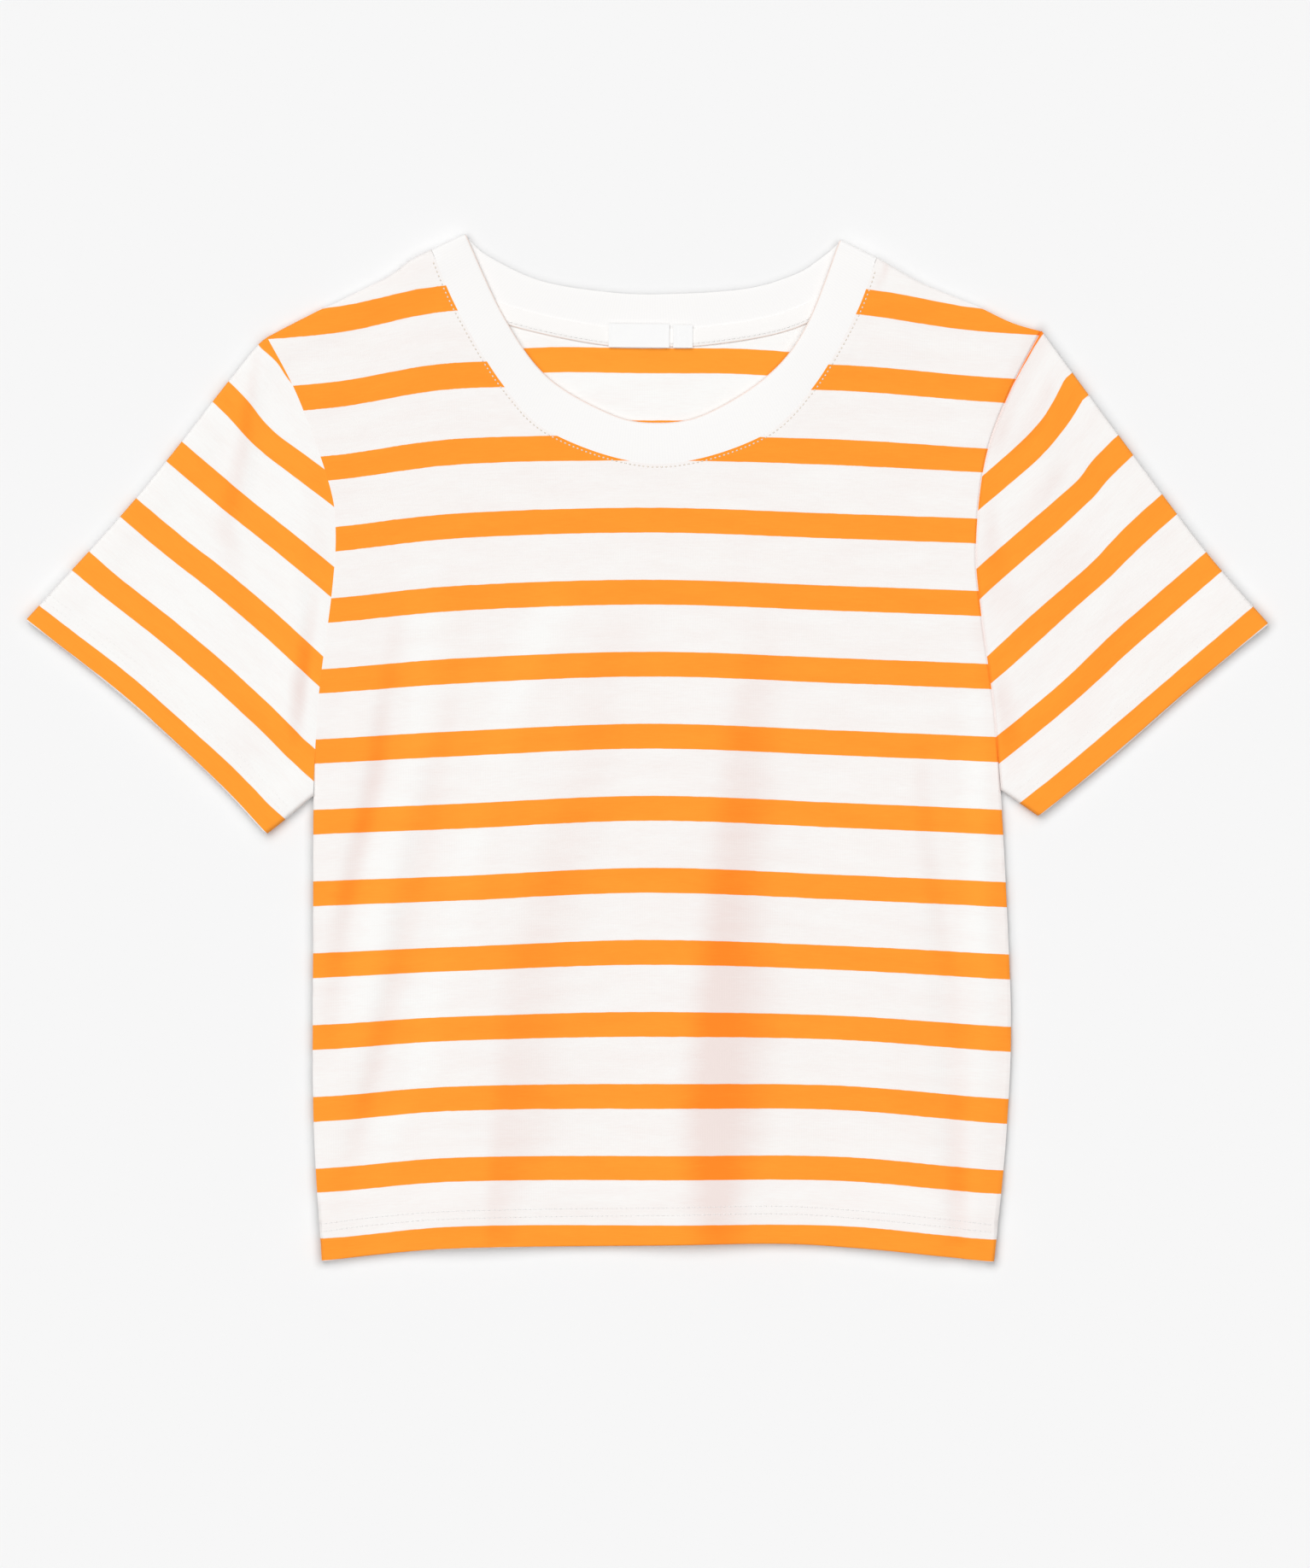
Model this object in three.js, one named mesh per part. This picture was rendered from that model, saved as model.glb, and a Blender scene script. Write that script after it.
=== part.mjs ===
// A short-sleeved crop top in striped cotton jersey with a white rib neckband, laid flat and face up.
// Units are millimetres. X runs to the viewer's right, Y from the hem towards the neck, Z up from the
// table. The origin is on the table, under the middle of the outline. Left and right are the viewer's.
//
// The top is sewn from a front, a back, two sleeves, a neckband, a neck tape and two small labels. Laid
// out, the back and the lower half of each sleeve lie on the table, and the front and the upper half of
// each sleeve lie on them. Each piece is a cloth wall with an outer and an inner face, worked out from
// its outlines and its folds.
import * as THREE from "three";

// Cloth
const JERSEY_WALL = 1.1;
const BAND_WALL = 1.8;
const TAPE_WALL = 1.0;
const LABEL_WALL = 1.0;
const SEAM_GAP = 0.54;
const LAYER_GAP = 0.4;

// Making up
const HEM_DEPTH = 20.8;
const TAPE_WIDTH = 8.8;
const TAPE_END_MARGIN = 11;
const EDGE_ROLL = 3;
const BACK_ARMHOLE_SHIFT = 7;
const CUFF_PEEK = 0.8;

// Air under the upper layer
const PUFF = 0.8;
const PUFF_EDGE = 16;
const HEM_EASE = 34;
const TAPE_LIFT = 1.3;

// Mesh
const NECK_STEPS = 22;
const SHOULDER_STEPS = 4;
const SIDE_STEPS = 11;
const BACK_SIDE_STEPS = 4;
const ARMHOLE_STEPS = 9;
const SLEEVE_STEPS = 9;
const FOLD_STEPS = 4;
const EDGE_DISTANCES = [0, 0.9, EDGE_ROLL, 8];
const HEM_ROWS = [
  { depth: 0, fullness: 0.35 },
  { depth: 0.5, fullness: 0.8 },
  { depth: 1.5, fullness: 1 },
  { depth: 10, fullness: 1 },
  { depth: HEM_DEPTH - 1, fullness: 1 },
  { depth: HEM_DEPTH, fullness: 1 },
];
const SEAM_EDGE_FULLNESS = 0.75;

// A smooth outline through a few points.
function outline(points) {
  const curve = new THREE.SplineCurve(points.map(({ x, y }) => new THREE.Vector2(x, y)));
  curve.arcLengthDivisions = 600;
  return curve;
}

// The edges as they lie. Side seams, armholes and shoulders run upwards, and the hem from left to right.
const hem = outline([
  { x: -171.5, y: -270.9 },
  { x: -140, y: -267 },
  { x: -95, y: -263.8 },
  { x: 0, y: -262.4 },
  { x: 68, y: -261.5 },
  { x: 110, y: -263.8 },
  { x: 150, y: -267.6 },
  { x: 182.7, y: -271.4 },
]);
const leftBody = {
  side: outline([
    { x: -171.5, y: -270.9 },
    { x: -176, y: -195 },
    { x: -176.2, y: -100 },
    { x: -176, y: -25.5 },
  ]),
  armhole: outline([
    { x: -176, y: -25.5 },
    { x: -173.4, y: 25 },
    { x: -166.1, y: 83.3 },
    { x: -164.3, y: 114.8 },
    { x: -167.9, y: 139.5 },
    { x: -184.1, y: 184.5 },
    { x: -200.4, y: 216.2 },
  ]),
  shoulder: outline([
    { x: -200.4, y: 216.2 },
    { x: -179.1, y: 227.3 },
    { x: -138.6, y: 247.1 },
    { x: -125.1, y: 256.7 },
    { x: -113.9, y: 262.4 },
  ]),
};
const rightBody = {
  side: outline([
    { x: 182.7, y: -271.4 },
    { x: 188.8, y: -210 },
    { x: 191.7, y: -150.8 },
    { x: 189.8, y: -90 },
    { x: 186.3, y: -22.5 },
  ]),
  armhole: outline([
    { x: 186.3, y: -22.5 },
    { x: 182.5, y: 22 },
    { x: 175.5, y: 74.3 },
    { x: 173.3, y: 108 },
    { x: 178.2, y: 151.7 },
    { x: 190.8, y: 186.8 },
    { x: 207.9, y: 219.6 },
  ]),
  shoulder: outline([
    { x: 207.9, y: 219.6 },
    { x: 192.2, y: 224.1 },
    { x: 171.9, y: 233.6 },
    { x: 144.9, y: 244.8 },
    { x: 121.1, y: 258.3 },
  ]),
};
const leftSleeveCut = {
  fold: outline([
    { x: -327.6, y: 67.1 },
    { x: -269.6, y: 131.4 },
    { x: -221.9, y: 191.7 },
    { x: -206.2, y: 211.2 },
    { x: -200.4, y: 216.2 },
  ]),
  cuff: outline([
    { x: -327.6, y: 67.1 },
    { x: -293, y: 40.6 },
    { x: -258.3, y: 11.5 },
    { x: -226, y: -18.9 },
    { x: -200.8, y: -45.9 },
  ]),
  under: outline([
    { x: -200.8, y: -45.9 },
    { x: -190.5, y: -37.8 },
    { x: -176, y: -25.5 },
  ]),
  armhole: leftBody.armhole,
  outwards: new THREE.Vector2(-1, 0),
};
const rightSleeveCut = {
  fold: outline([
    { x: 327.6, y: 65 },
    { x: 294.3, y: 103.5 },
    { x: 248.4, y: 164.7 },
    { x: 207.9, y: 219.6 },
  ]),
  cuff: outline([
    { x: 327.6, y: 65 },
    { x: 286.7, y: 31.7 },
    { x: 246.2, y: -3.8 },
    { x: 220, y: -25.4 },
    { x: 206.2, y: -36.4 },
  ]),
  under: outline([
    { x: 206.2, y: -36.4 },
    { x: 195.3, y: -28.8 },
    { x: 186.3, y: -22.5 },
  ]),
  armhole: rightBody.armhole,
  outwards: new THREE.Vector2(1, 0),
};

// The neckband runs left to right: its sewn edge, and its free edge, which is the fold of the doubled rib.
const frontNeck = {
  sewn: outline([
    { x: -112.9, y: 260.3 },
    { x: -99.5, y: 229.5 },
    { x: -75.6, y: 190.4 },
    { x: -48.6, y: 164.7 },
    { x: 4.5, y: 149.4 },
    { x: 57.2, y: 162.5 },
    { x: 86, y: 188.1 },
    { x: 109.4, y: 227.3 },
    { x: 120.1, y: 256.2 },
  ]),
  free: outline([
    { x: -94.9, y: 268.8 },
    { x: -75.2, y: 226.4 },
    { x: -53.1, y: 195.8 },
    { x: -19.4, y: 175.5 },
    { x: 4.5, y: 170.6 },
    { x: 30.2, y: 173.7 },
    { x: 63.9, y: 195.8 },
    { x: 83.7, y: 222.3 },
    { x: 100.7, y: 265.7 },
  ]),
};
const backNeck = {
  sewn: outline([
    { x: -112.9, y: 260.3 },
    { x: -98.1, y: 244.8 },
    { x: -71.1, y: 231.3 },
    { x: -26.1, y: 221.4 },
    { x: 3.2, y: 220.1 },
    { x: 32.4, y: 221 },
    { x: 72.9, y: 228.6 },
    { x: 102.2, y: 244.4 },
    { x: 120.1, y: 256.2 },
  ]),
  free: outline([
    { x: -94.9, y: 268.8 },
    { x: -84, y: 259.2 },
    { x: -57.6, y: 246.6 },
    { x: -26.1, y: 240.8 },
    { x: 4, y: 239 },
    { x: 50.4, y: 241.7 },
    { x: 77.4, y: 249.3 },
    { x: 91, y: 257.6 },
    { x: 100.7, y: 265.7 },
  ]),
};

// Soft folds in the upper layer. Each is a ridge whose crest runs from one point down to another. It
// swells over the fade length, and falls away over the left and right widths.
const SOFT_FOLDS = [
  { xTop: -142, yTop: 52, xEnd: -171, yEnd: -112, left: 17, right: 12, lift: 1.3, fade: 55, tail: 40 },
  { xTop: -116, yTop: 25, xEnd: -165, yEnd: -222, left: 19, right: 14, lift: 1.7, fade: 70, tail: 50 },
  { xTop: -70, yTop: 40, xEnd: -94, yEnd: -262, left: 42, right: 62, lift: 2.2, fade: 120, tail: 0 },
  { xTop: 30, yTop: 82, xEnd: 25, yEnd: -262, left: 50, right: 46, lift: 2.6, fade: 130, tail: 0 },
  { xTop: 136, yTop: 25, xEnd: 150, yEnd: -264, left: 58, right: 17, lift: 2.0, fade: 110, tail: 0 },
  { xTop: 176, yTop: 10, xEnd: 172, yEnd: -264, left: 11, right: 15, lift: 1.2, fade: 60, tail: 0 },
  { xTop: -206, yTop: 208, xEnd: -222, yEnd: 92, left: 13, right: 10, lift: 1.1, fade: 30, tail: 50 },
  { xTop: -182, yTop: 128, xEnd: -190, yEnd: -6, left: 13, right: 9, lift: 1.0, fade: 50, tail: 40 },
  { xTop: 212, yTop: 205, xEnd: 204, yEnd: 90, left: 11, right: 15, lift: 1.0, fade: 30, tail: 60 },
  { xTop: 186, yTop: 120, xEnd: 199, yEnd: 0, left: 10, right: 16, lift: 0.9, fade: 50, tail: 40 },
];

const smooth = THREE.MathUtils.smoothstep;
const mix = THREE.MathUtils.lerp;

// The folded edges, where the upper layer rolls over into the lower one: sides, shoulders and sleeves.
const traced = (curve) => curve.getSpacedPoints(40);
const foldedEdges = [
  ...[leftBody.side, leftBody.shoulder, leftSleeveCut.fold, leftSleeveCut.under],
  ...[rightBody.side, rightBody.shoulder, rightSleeveCut.fold, rightSleeveCut.under],
].map(traced);

function distanceToSegment(p, a, b) {
  const along = b.clone().sub(a);
  const share = THREE.MathUtils.clamp(p.clone().sub(a).dot(along) / along.lengthSq(), 0, 1);
  return p.distanceTo(a.clone().addScaledVector(along, share));
}

function distanceTo(edges, p) {
  let nearest = Infinity;
  for (const edge of edges) {
    for (let i = 1; i < edge.length; i += 1) {
      nearest = Math.min(nearest, distanceToSegment(p, edge[i - 1], edge[i]));
    }
  }
  return nearest;
}

// How far a soft fold lifts the cloth at a point.
function foldLift(fold, p) {
  const share = (fold.yTop - p.y) / (fold.yTop - fold.yEnd);
  if (share < 0) return 0;
  const crest = mix(fold.xTop, fold.xEnd, Math.min(share, 1));
  const across = p.x < crest ? (crest - p.x) / fold.left : (p.x - crest) / fold.right;
  if (across >= 1) return 0;
  const swell = smooth(fold.yTop - p.y, 0, fold.fade);
  const end = fold.tail > 0 ? 1 - smooth(fold.yEnd - p.y, -fold.tail, 0) : 1;
  return fold.lift * swell * end * Math.cos((across * Math.PI) / 2) ** 2;
}

// Height of the upper layer's outer face. rise is the extra height over a doubled hem, from 0 to 1.
function upperTop(p, rise) {
  const overTape = smooth(p.y, 188, 212) * (1 - smooth(Math.abs(p.x - 4), 126, 150));
  const edge = smooth(distanceTo(foldedEdges, p), 0, PUFF_EDGE);
  const folds = SOFT_FOLDS.reduce((sum, fold) => sum + foldLift(fold, p), 0);
  const air = LAYER_GAP + edge * (PUFF + folds) + overTape * TAPE_LIFT;
  return 2 * JERSEY_WALL + air + rise * (2 * JERSEY_WALL - 0.1);
}

// Distances along an edge, close together at its ends, where the cloth rolls over.
function spacing(length, steps, fineStart = true, fineEnd = true) {
  const start = fineStart ? EDGE_DISTANCES : [0];
  const end = (fineEnd ? EDGE_DISTANCES : [0]).map((d) => length - d).reverse();
  const from = start[start.length - 1];
  const to = end[0];
  const middle = Array.from({ length: steps - 1 }, (_, i) => mix(from, to, (i + 1) / steps));
  return [...start, ...middle, ...end];
}

function pointsAlong(curve, distances) {
  const length = curve.getLength();
  return distances.map((d) => curve.getPointAt(THREE.MathUtils.clamp(d / length, 0, 1)));
}

// The points of a seam, moved half the seam gap to one side of it.
function seamSide(points, towards) {
  return points.map((p, i) => p.clone().addScaledVector(towards(p, i), SEAM_GAP / 2));
}

// Fills the space between four edges with a grid of points. bottom and top have a point for each column,
// and left and right one for each row.
function fillPatch(bottom, top, left, right, acrossShares, upShares) {
  return left.map((_, i) => {
    const v = upShares[i];
    return bottom.map((__, j) => {
      const u = acrossShares[j];
      const blend = (pick) =>
        mix(pick(bottom[j]), pick(top[j]), v) +
        mix(pick(left[i]), pick(right[i]), u) -
        mix(
          mix(pick(bottom[0]), pick(bottom.at(-1)), u),
          mix(pick(top[0]), pick(top.at(-1)), u),
          v,
        );
      return new THREE.Vector2(
        blend((p) => p.x),
        blend((p) => p.y),
      );
    });
  });
}

// A closed cloth wall from the grids of its two faces. A ring's last row or column joins its first.
function clothWall(name, material, outer, inner, ring = { rows: false, columns: false }) {
  const rows = outer.length;
  const columns = outer[0].length;
  const positions = [...outer.flat(), ...inner.flat()].flatMap((p) => [p.x, p.y, p.z]);
  const at = (face, i, j) => face * rows * columns + (i % rows) * columns + (j % columns);
  const index = [];
  const quad = (a, b, c, d) => index.push(a, b, c, a, c, d);
  const rowEnd = ring.rows ? rows : rows - 1;
  const columnEnd = ring.columns ? columns : columns - 1;
  for (let i = 0; i < rowEnd; i += 1) {
    for (let j = 0; j < columnEnd; j += 1) {
      quad(at(0, i, j), at(0, i, j + 1), at(0, i + 1, j + 1), at(0, i + 1, j));
      quad(at(1, i + 1, j), at(1, i + 1, j + 1), at(1, i, j + 1), at(1, i, j));
    }
  }
  if (!ring.rows) {
    for (let j = 0; j < columnEnd; j += 1) {
      quad(at(0, 0, j + 1), at(0, 0, j), at(1, 0, j), at(1, 0, j + 1));
      const end = rows - 1;
      quad(at(0, end, j), at(0, end, j + 1), at(1, end, j + 1), at(1, end, j));
    }
  }
  if (!ring.columns) {
    for (let i = 0; i < rowEnd; i += 1) {
      quad(at(0, i, 0), at(0, i + 1, 0), at(1, i + 1, 0), at(1, i, 0));
      const end = columns - 1;
      quad(at(0, i + 1, end), at(0, i, end), at(1, i, end), at(1, i + 1, end));
    }
  }
  if (signedVolume(positions, index) < 0) index.reverse();
  const geometry = new THREE.BufferGeometry();
  geometry.setAttribute("position", new THREE.Float32BufferAttribute(positions, 3));
  geometry.setIndex(index);
  geometry.computeVertexNormals();
  const mesh = new THREE.Mesh(geometry, material);
  mesh.name = name;
  return mesh;
}

function signedVolume(positions, index) {
  const corner = (k) => new THREE.Vector3().fromArray(positions, 3 * index[k]);
  let sum = 0;
  for (let k = 0; k < index.length; k += 3) {
    sum += corner(k).dot(corner(k + 1).cross(corner(k + 2)));
  }
  return sum / 6;
}

// A wall's two faces at a point, brought together to a share of the wall's thickness.
function facesAt(p, low, high, fullness) {
  const middle = (low + high) / 2;
  return {
    low: new THREE.Vector3(p.x, p.y, mix(middle, low, fullness)),
    high: new THREE.Vector3(p.x, p.y, mix(middle, high, fullness)),
  };
}

// Stations that the pieces on both sides of a seam share, so that the seam keeps its gap.
const armholeSpacing = (armhole) => spacing(armhole.getLength(), ARMHOLE_STEPS);
const neckSpacing = (neck) => spacing(neck.sewn.getLength(), NECK_STEPS, false, false);
const neckStations = (neck) => {
  const share = neckSpacing(neck).map((d) => d / neck.sewn.getLength());
  return share.map((s) => ({ sewn: neck.sewn.getPointAt(s), free: neck.free.getPointAt(s) }));
};
const acrossBand = ({ sewn, free }) => free.clone().sub(sewn).normalize();

// The back's armholes are cut less hollow than the front's. shift moves a point out, most at half height.
function backArmhole(body, outwards) {
  const length = body.armhole.getLength();
  const distances = armholeSpacing(body.armhole);
  return pointsAlong(body.armhole, distances).map((p, i) => {
    const swing = Math.sin((Math.PI * distances[i]) / length) ** 2;
    return p.addScaledVector(outwards, BACK_ARMHOLE_SHIFT * swing);
  });
}

// The plan of the front or the back: a grid of points from the hem's edge up to the shoulders and the neck.
function bodyPlan(neck, sideSteps, leftArmhole, rightArmhole) {
  const edge = (body, armhole, sideways) => {
    const length = body.side.getLength();
    const hemRows = HEM_ROWS.map((row) => row.depth);
    const upwards = Array.from({ length: sideSteps }, (_, i) => (i + 1) / sideSteps);
    const side = pointsAlong(body.side, [
      ...hemRows,
      ...upwards.map((share) => mix(HEM_DEPTH, length, share)),
    ]);
    return [...side, ...seamSide(armhole.slice(1), () => sideways)];
  };
  const left = edge(leftBody, leftArmhole, new THREE.Vector2(1, 0));
  const right = edge(rightBody, rightArmhole, new THREE.Vector2(-1, 0));

  const shoulderOf = (body) => {
    const distances = spacing(body.shoulder.getLength(), SHOULDER_STEPS, true, false);
    return pointsAlong(body.shoulder, distances);
  };
  const stations = neckStations(neck);
  const neckline = seamSide(
    stations.map(({ sewn }) => sewn.clone()),
    (_, i) => acrossBand(stations[i]).negate(),
  );
  const leftShoulder = shoulderOf(leftBody);
  const rightShoulder = shoulderOf(rightBody).reverse();
  leftShoulder[0] = left.at(-1);
  rightShoulder[rightShoulder.length - 1] = right.at(-1);
  leftShoulder[leftShoulder.length - 1].x -= SEAM_GAP / 2;
  rightShoulder[0].x += SEAM_GAP / 2;
  const top = [...leftShoulder, ...neckline, ...rightShoulder];

  // The hem's columns are as close together at the sides as the shoulders' are, and even under the neck.
  const hemLength = hem.getLength();
  const columns = top.length;
  const sideColumns = leftShoulder.length;
  const sideShare = 0.19;
  const shoulderShares = spacing(leftBody.shoulder.getLength(), SHOULDER_STEPS, true, false).map(
    (d) => (sideShare * d) / leftBody.shoulder.getLength(),
  );
  const across = Array.from({ length: columns }, (_, j) => {
    if (j < sideColumns) return shoulderShares[j];
    if (j >= columns - sideColumns) return 1 - shoulderShares[columns - 1 - j];
    return mix(sideShare, 1 - sideShare, (j - sideColumns + 1) / (columns - 2 * sideColumns + 1));
  });
  const hemEdge = pointsAlong(hem, across.map((share) => share * hemLength));
  const hemTop = hemEdge.map((p) => p.clone().add(new THREE.Vector2(0, HEM_DEPTH)));
  const hemCount = HEM_ROWS.length;
  hemTop[0] = left[hemCount - 1];
  hemTop[columns - 1] = right[hemCount - 1];

  const hemGrid = HEM_ROWS.slice(0, -1).map((row, i) =>
    hemEdge.map((p, j) => {
      if (j === 0) return left[i];
      if (j === columns - 1) return right[i];
      return p.clone().lerp(hemTop[j], row.depth / HEM_DEPTH);
    }),
  );
  const bodyLeft = left.slice(hemCount - 1);
  const bodyRight = right.slice(hemCount - 1);
  let run = 0;
  const runs = bodyLeft.map((p, i) => {
    if (i > 0) run += p.distanceTo(bodyLeft[i - 1]);
    return run;
  });
  const up = runs.map((value) => value / run);
  return [...hemGrid, ...fillPatch(hemTop, top, bodyLeft, bodyRight, across, up)];
}

// The hem's lower edge is rounded off, and the sewn edges at the armholes and the neck are thinner.
function bodyFullness(i, j, rows, columns, sideRows) {
  if (i < HEM_ROWS.length) return HEM_ROWS[i].fullness;
  const atArmhole = i >= sideRows && (j === 0 || j === columns - 1);
  const shoulderColumns = EDGE_DISTANCES.length + SHOULDER_STEPS - 1;
  const atNeck = i === rows - 1 && j > shoulderColumns && j < columns - 1 - shoulderColumns;
  return atArmhole || atNeck ? SEAM_EDGE_FULLNESS : 1;
}

// The back lies on the table, face down. Its sides and shoulders curl up to the seams.
function makeBack(material) {
  const leftArm = backArmhole(leftBody, new THREE.Vector2(-1, 0));
  const rightArm = backArmhole(rightBody, new THREE.Vector2(1, 0));
  const plan = bodyPlan(backNeck, BACK_SIDE_STEPS, leftArm, rightArm);
  const sideRows = HEM_ROWS.length + BACK_SIDE_STEPS;
  const faces = plan.map((row, i) =>
    row.map((p, j) => {
      const edge = distanceTo(foldedEdges, p);
      const inHem = i < HEM_ROWS.length - 1 ? smooth(edge, 1, 6) : 0;
      const curl = Math.max(0, 1 - edge / EDGE_ROLL);
      const low = 0.8 * JERSEY_WALL * curl ** 2;
      const high = JERSEY_WALL * (1 + inHem);
      return facesAt(p, low, high, bodyFullness(i, j, plan.length, row.length, sideRows));
    }),
  );
  return clothWall(
    "back",
    material,
    faces.map((row) => row.map((face) => face.low)),
    faces.map((row) => row.map((face) => face.high)),
  );
}

// The front lies on the back. Its sides and shoulders roll over, and its soft folds stand up from it.
function makeFront(material) {
  const armholeOf = (body) => pointsAlong(body.armhole, armholeSpacing(body.armhole));
  const plan = bodyPlan(frontNeck, SIDE_STEPS, armholeOf(leftBody), armholeOf(rightBody));
  const sideRows = HEM_ROWS.length + SIDE_STEPS;
  const seam = JERSEY_WALL + LAYER_GAP - 0.1;
  const faces = plan.map((row, i) =>
    row.map((p, j) => {
      const inHem = i < HEM_ROWS.length - 1;
      const rise = inHem ? 1 : 1 - smooth(p.y - plan[HEM_ROWS.length - 1][j].y, 0, HEM_EASE);
      const top = upperTop(p, rise);
      const bottom = top - JERSEY_WALL * (inHem ? 2 : 1);
      const edge = distanceTo(foldedEdges, p);
      const roll = Math.sqrt(1 - Math.max(0, 1 - edge / EDGE_ROLL) ** 2);
      const high = mix(seam + 0.35, top, roll);
      const low = mix(seam, bottom, smooth(edge, 0.8, 5));
      return facesAt(p, low, high, bodyFullness(i, j, plan.length, row.length, sideRows));
    }),
  );
  return clothWall(
    "front",
    material,
    faces.map((row) => row.map((face) => face.high)),
    faces.map((row) => row.map((face) => face.low)),
  );
}

// A sleeve is a flattened tube from the cuff to the armhole. Its upper and lower halves meet in the fold
// along the top of the arm and at the short seam under the arm, and its cuff is turned up inside.
function makeSleeve(name, material, cut) {
  const { fold, cuff, under, armhole, outwards } = cut;
  const armholeDistances = armholeSpacing(armhole).reverse();
  const armLength = armhole.getLength();
  const columns = armholeDistances.length;
  const ending = seamSide(pointsAlong(armhole, armholeDistances), () => outwards);
  const cuffPoints = pointsAlong(cuff, spacing(cuff.getLength(), ARMHOLE_STEPS));
  const cuffEdge = [traced(cuff)];
  const across = armholeDistances.map((d) => 1 - d / armLength);

  // Rows run from the cuff to the armhole. The last hem row is where the turned-up cloth ends.
  const depths = HEM_ROWS.map((row) => row.depth);
  const rowDistances = (length) => {
    const shares = Array.from({ length: SLEEVE_STEPS }, (_, i) => (i + 1) / SLEEVE_STEPS);
    return [...depths, ...shares.map((share) => mix(HEM_DEPTH, length, share))];
  };
  const edgePoints = (curve, last) => [
    ...pointsAlong(curve, rowDistances(curve.getLength())).slice(0, -1),
    last,
  ];
  const foldPoints = edgePoints(fold, ending[0]);
  const underPoints = edgePoints(under, ending.at(-1));
  const up = rowDistances(fold.getLength()).map((d) => d / fold.getLength());
  const plan = fillPatch(cuffPoints, ending, foldPoints, underPoints, across, up);

  const last = columns - 1;
  const around = 2 * last;
  const outer = [];
  const inner = [];
  plan.forEach((row, i) => {
    const inHem = i < HEM_ROWS.length - 1;
    const wall = JERSEY_WALL * (inHem ? 2 : 1);
    const sewnRow = i === plan.length - 1;
    const fullness = HEM_ROWS[i]?.fullness ?? (sewnRow ? SEAM_EDGE_FULLNESS : 1);
    const outerRow = [];
    const innerRow = [];
    for (let m = 0; m < around; m += 1) {
      const k = m <= last ? m : around - m;
      const isLower = m > last;
      const fromEdge = Math.min(k, last - k);
      const start = k <= last / 2 ? 0 : last;
      const inward = k <= last / 2 ? 1 : -1;
      const angle = (Math.min(fromEdge, 2) * Math.PI) / 4;
      const fromHem = distanceTo(cuffEdge, row[k]) - HEM_DEPTH;
      const top = upperTop(row[k], inHem ? 1 : 1 - smooth(fromHem, 0, HEM_EASE));
      const half = top / 2;
      const side = isLower ? -1 : 1;
      const outerPlan = row[k].clone();
      const innerPlan = row[k].clone();
      if (fromEdge < 2) {
        const inset = wall + (EDGE_ROLL - wall) * (1 - Math.cos(angle));
        innerPlan.copy(row[start]).lerp(row[start + 2 * inward], Math.min(1, inset / EDGE_ROLL));
      }
      if (isLower) {
        // The back half's armhole follows the back, and its cuff shows a little past the front's.
        const hollow = BACK_ARMHOLE_SHIFT * Math.sin(Math.PI * across[k]) ** 2 * up[i] ** 4;
        const peek = CUFF_PEEK * Math.sin(Math.PI * across[k]) * (1 - Math.min(1, up[i] * 8));
        const away = cuffPoints[k].clone().sub(ending[k]).normalize();
        for (const p of [outerPlan, innerPlan]) {
          p.addScaledVector(outwards, hollow).addScaledVector(away, peek);
        }
      }
      const low = half + side * (half - wall) * Math.sin(angle);
      const high = half + side * half * Math.sin(angle);
      const face = new THREE.Vector3(outerPlan.x, outerPlan.y, high);
      const lining = new THREE.Vector3(innerPlan.x, innerPlan.y, low);
      const middle = face.clone().add(lining).multiplyScalar(0.5);
      outerRow.push(middle.clone().lerp(face, fullness));
      innerRow.push(middle.clone().lerp(lining, fullness));
    }
    outer.push(outerRow);
    inner.push(innerRow);
  });
  return clothWall(name, material, outer, inner, { rows: false, columns: true });
}

// The neckband is a ring of doubled rib. It lies face up along the front neck, folds over at each
// shoulder, and lies face down along the back neck, so that its inside shows there.
const BAND_PROFILE = [
  { share: 0, fullness: SEAM_EDGE_FULLNESS },
  { share: 0.12, fullness: 1 },
  { share: 0.5, fullness: 1 },
  { share: 0.95, fullness: 0.92 },
  { share: 1, fullness: 0.4 },
];
const BACK_BAND_HEIGHT = BAND_WALL / 2;

function bandHeight(p) {
  return upperTop(p, 0) - JERSEY_WALL + BAND_WALL / 2;
}

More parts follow.
